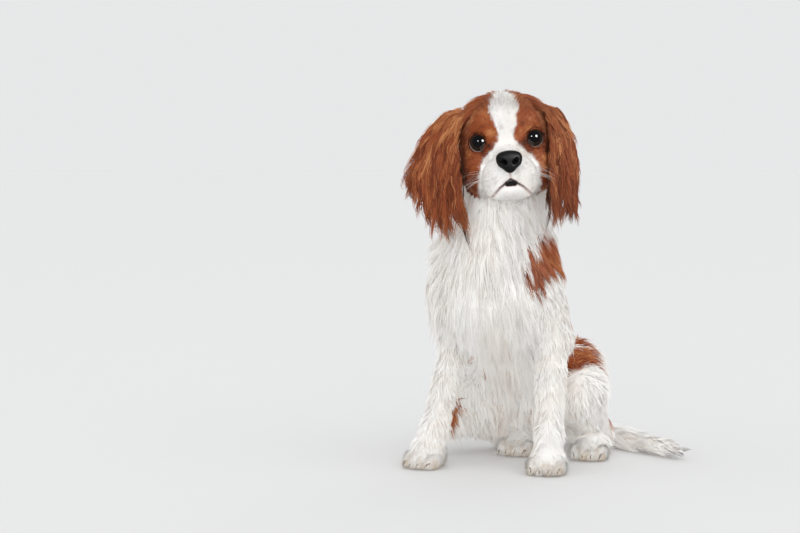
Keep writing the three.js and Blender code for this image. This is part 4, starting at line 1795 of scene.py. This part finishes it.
class SPANIEL_OT_ear_coat(bpy.types.Operator):
    """Wavy locks that hang from the ears"""

    bl_idname = "spaniel.ear_coat"
    bl_label = "Ear coat"

    def execute(self, context):
        for seed, (name, ear) in enumerate(EARS.items()):
            self.grow(name, ear, 80 + seed)
        return {"FINISHED"}

    def grow(self, name, ear, seed):
        """The locks of one ear, on both its faces."""
        draw = np.random.default_rng(SEED + seed)
        down = draw.beta(1.15, 1.0, EAR_CLUMPS) * 1.02
        across = draw.uniform(-1.25, 1, EAR_CLUMPS)
        down = down * (1 - ear["cut"] * np.maximum(across, 0) ** 2)
        across = np.maximum(across, -0.7 - 0.55 * down)
        face = np.where(draw.random(EAR_CLUMPS) < 0.2, -1.0, 1.0)
        guides = self.guides(draw, ear, down, across, face)
        thick = EAR_THICKNESS / 2
        inward, outward = (ear_points(ear, down, across * 0.9, face * (thick + far)) for far in (0, 1))
        normals = unit(outward - inward)
        paths = clumped(draw, guides, normals, EAR_STRANDS, 2.8, 0.72)
        each = np.repeat(np.arange(EAR_CLUMPS), EAR_STRANDS)
        stray = draw.random(len(each)) < 0.05
        apart = draw.normal(size=(stray.sum(), 1, 3)) * 2.4
        paths[stray, 2:] += apart * np.linspace(0.3, 1, EAR_STEPS)[None, :, None]
        own = draw.normal(size=EAR_CLUMPS)[each] * 0.2
        look = self.look(draw, guides[:, 1][each], down[each], own)
        roots_uv = self.unwrap_places(skin_of(f"ear_leather_{name}"), guides[:, 1])[each]
        widths = 1.15 * draw.uniform(0.6, 1.3, len(each)) * np.where(stray, 0.45, 1)
        piece = hair_mesh(f"locks_ear_{name}", paths, widths, normals[each], roots_uv, look)
        finished(piece, hair_material(), "chestnut_coat")

    def guides(self, draw, ear, down, across, face):
        """The middle line of each clump, which waves and fans out as it hangs."""
        low = np.clip(down * 1.5, 0, 1)
        reach = 0.36 + 0.64 * np.clip(down * 1.9, 0, 1)
        whole = coat().ear_length / MM * reach * ear["hang"] * draw.uniform(0.65, 1.15, EAR_CLUMPS)
        whole *= 1 - (0.15 + ear["cut"]) * across * low
        phase = draw.uniform(0, 6.28, EAR_CLUMPS)
        pace = draw.uniform(5.5, 9.5, EAR_CLUMPS)
        swing = draw.uniform(0.09, 0.30, EAR_CLUMPS) * np.clip(down * 2, 0.15, 1)
        flare = np.where(across > 0, 0.62 + ear["cut"], 0.42 + 0.4 * down)
        thick = EAR_THICKNESS / 2
        guides = np.empty((EAR_CLUMPS, EAR_STEPS + 2, 3))
        guides[:, 0] = ear_points(ear, down, across * 0.9, face * (thick - 2.5))
        for step, share in enumerate(np.linspace(0, 1, EAR_STEPS + 1), 1):
            wave = swing * np.sin(share * pace + phase) * share**0.6
            fan = across * (0.94 + flare * share * low) + wave
            ripple = 2.2 * share * np.sin(share * pace + phase + 1.4)
            lift = thick - 0.6 + 3.0 * share * (1.15 - share) + ripple
            at = np.clip(down + whole * share / EAR_LENGTH, 0, 2)
            guides[:, step] = ear_points(ear, at, fan, face * lift)
        return guides

    def look(self, draw, roots, down, own):
        """Chestnut locks in lighter and darker strips, each with its own shade, and painted light: lighter
        high on the ear, darker lower down.
        """
        # painted light and shade: the ear is lighter near its top, where the light falls, and darker lower
        # down
        shade = 0.72 - 0.44 * np.clip(down * 1.4, 0, 1)
        shade = shade + own + 0.7 * (patchy(roots, 13, 31) - 0.5) + 0.5 * (patchy(roots, 4, 32) - 0.5)
        shade = shade + draw.normal(size=len(roots)) * 0.16
        return np.ones(len(roots)), shade, np.zeros(len(roots))

    def unwrap_places(self, leather, places):
        """The places on the ear's unwrap nearest to the roots."""
        closest = np.array([np.argmin(((leather.centre - p) ** 2).sum(axis=1)) for p in places])
        return leather.uv[closest].mean(axis=1)


class SPANIEL_OT_whiskers(bpy.types.Operator):
    """Long stiff hairs on the sides of the muzzle"""

    bl_idname = "spaniel.whiskers"
    bl_label = "Whiskers"

    def execute(self, context):
        draw = np.random.default_rng(SEED + 99)
        skin = skin_of("skin")
        local = to_head(skin.centre)
        pads = reach_of(local, (0, -20, -38), (30, 20, 14)) < 1.1
        pads &= (np.abs(local[:, 0]) > 10) & (local[:, 1] < -4)
        roots, out, uv, region = skin.roots(draw, WHISKERS, pads * among(skin.region, "head"))
        side = np.sign(to_head(roots)[:, 0])[:, None]
        back = np.full((WHISKERS, 1), 0.35)
        rise = draw.normal(-0.3, 0.35, (WHISKERS, 1))
        lie = unit(np.concatenate([side * 1.3, back, rise], axis=1)) @ HEAD_TURN.T
        length = draw.uniform(12, 27, WHISKERS)[:, None]
        lie = unit(lie + 0.5 * out)
        paths = [roots - out]
        for share in (0.25, 0.5, 0.75, 1.0):
            paths.append(roots + lie * length * share + DOWN * length * 0.34 * share**2)
        look = (np.zeros(WHISKERS), draw.random(WHISKERS), np.zeros(WHISKERS))
        widths = np.full(WHISKERS, 0.34)
        piece = hair_mesh("whiskers", np.stack(paths, axis=1), widths, out, uv, look, 0.5)
        finished(piece, whisker_material(), "white_coat")
        return {"FINISHED"}


# Stage


def way_to(turn, height):
    """The way to a lamp by its turn from the dog's front to its left and its height, in degrees."""
    turn, height = radians(turn), radians(height)
    return Vector((np.sin(turn) * np.cos(height), -np.cos(turn) * np.cos(height), np.sin(height)))


def add_lamp(name, light, way):
    """A lamp that shines against the way to it."""
    lamp = bpy.data.objects.new(name, light)
    lamp.rotation_euler = way.to_track_quat("Z", "Y").to_euler()
    bpy.context.scene.collection.objects.link(lamp)
    return lamp


class SPANIEL_OT_stage(bpy.types.Operator):
    """A pale floor, soft light and the camera"""

    bl_idname = "spaniel.stage"
    bl_label = "Stage"

    def execute(self, context):
        self.floor(context)
        self.surround(context)
        self.lights(context)
        self.camera(context)
        context.scene.view_settings.view_transform = "Standard"
        return {"FINISHED"}

    def floor(self, context):
        """A wide pale floor."""
        clear_selection()
        bpy.ops.mesh.primitive_circle_add(vertices=64, radius=40, fill_type="NGON", location=(0, 0, 0))
        floor = context.object
        floor.name = floor.data.name = "floor"
        material, tree, shader = new_material("floor")
        grey = [context.scene.spaniel_stage.floor_shade] * 3
        set_inputs(tree, shader, {"Base Color": grey, "Roughness": 0.9, "Specular IOR Level": 0.1})
        floor.data.materials.append(material)
        floor.visible_glossy = False

    def surround(self, context):
        """A pale surround that lights evenly, seen as the backdrop and darker in what is glossy."""
        world = bpy.data.worlds.new("surround")
        world.use_nodes = True
        tree = world.node_tree
        seen = tree.nodes.new("ShaderNodeLightPath").outputs
        tint = np.array([0.99, 1, 1.005])
        colour = mixed(tree, seen["Is Camera Ray"], SURROUND * tint, BACKDROP * tint)
        colour = mixed(tree, seen["Is Glossy Ray"], colour, REFLECTED * tint)
        put(tree, tree.nodes["Background"].inputs["Color"], colour)
        context.scene.world = world

    def lights(self, context):
        """Soft suns, and discs that show in the eyes and the nose."""
        for name, turn, height, share, softness in SUNS:
            sun = bpy.data.lights.new(name, "SUN")
            sun.energy = context.scene.spaniel_stage.key_power * share
            sun.angle = radians(softness)
            add_lamp(name, sun, way_to(turn, height)).visible_glossy = False
        for name, turn, height, size in SOFTBOXES:
            disc = bpy.data.lights.new(name, "AREA")
            disc.shape = "DISK"
            disc.size = size
            disc.energy = SOFTBOX_POWER * size**2
            lamp = add_lamp(name, disc, way_to(turn, height))
            lamp.location = Vector(metres(HEAD_AT)) + SOFTBOX_AWAY * way_to(turn, height)
            lamp.visible_diffuse = False

    def camera(self, context):
        """The camera where the photograph was taken from."""
        camera = bpy.data.cameras.new("camera")
        camera.lens = context.scene.spaniel_stage.lens
        camera.sensor_width = 36
        camera.clip_end = 100
        eye = bpy.data.objects.new("camera", camera)
        eye.location = metres((676, -1820, 350))
        eye.rotation_euler = (radians(90 - 3.6), 0, radians(23.43))
        context.scene.collection.objects.link(eye)
        context.scene.camera = eye


class SPANIEL_PT_pieces(bpy.types.Panel):
    """The settings and the pieces of the dog"""

    bl_idname = "SPANIEL_PT_pieces"
    bl_label = "Spaniel"
    bl_space_type = "VIEW_3D"
    bl_region_type = "UI"
    bl_category = "Spaniel"

    def draw(self, context):
        scene = context.scene
        for group in (scene.spaniel_coat, scene.spaniel_colours, scene.spaniel_stage):
            for name in group.__annotations__:
                self.layout.prop(group, name)
        for operator in OPERATORS:
            self.layout.operator(operator.bl_idname)


OPERATORS = (
    SPANIEL_OT_skin,
    SPANIEL_OT_ears,
    SPANIEL_OT_eyes,
    SPANIEL_OT_nose,
    SPANIEL_OT_claws,
    SPANIEL_OT_short_coat,
    SPANIEL_OT_long_coat,
    SPANIEL_OT_ear_coat,
    SPANIEL_OT_whiskers,
    SPANIEL_OT_stage,
)
CLASSES = (SpanielCoat, SpanielColours, SpanielStage, *OPERATORS, SPANIEL_PT_pieces)


def register():
    """Adds the classes and the scene's settings."""
    for kind in CLASSES:
        bpy.utils.register_class(kind)
    bpy.types.Scene.spaniel_coat = bpy.props.PointerProperty(type=SpanielCoat)
    bpy.types.Scene.spaniel_colours = bpy.props.PointerProperty(type=SpanielColours)
    bpy.types.Scene.spaniel_stage = bpy.props.PointerProperty(type=SpanielStage)


def unregister():
    """Takes them away again."""
    del bpy.types.Scene.spaniel_stage
    del bpy.types.Scene.spaniel_colours
    del bpy.types.Scene.spaniel_coat
    for kind in reversed(CLASSES):
        bpy.utils.unregister_class(kind)


def main():
    """Builds every piece in order."""
    register()
    bpy.ops.spaniel.skin()
    bpy.ops.spaniel.ears()
    bpy.ops.spaniel.eyes()
    bpy.ops.spaniel.nose()
    bpy.ops.spaniel.claws()
    bpy.ops.spaniel.short_coat()
    bpy.ops.spaniel.long_coat()
    bpy.ops.spaniel.ear_coat()
    bpy.ops.spaniel.whiskers()
    bpy.ops.spaniel.stage()


if __name__ == "__main__":
    main()
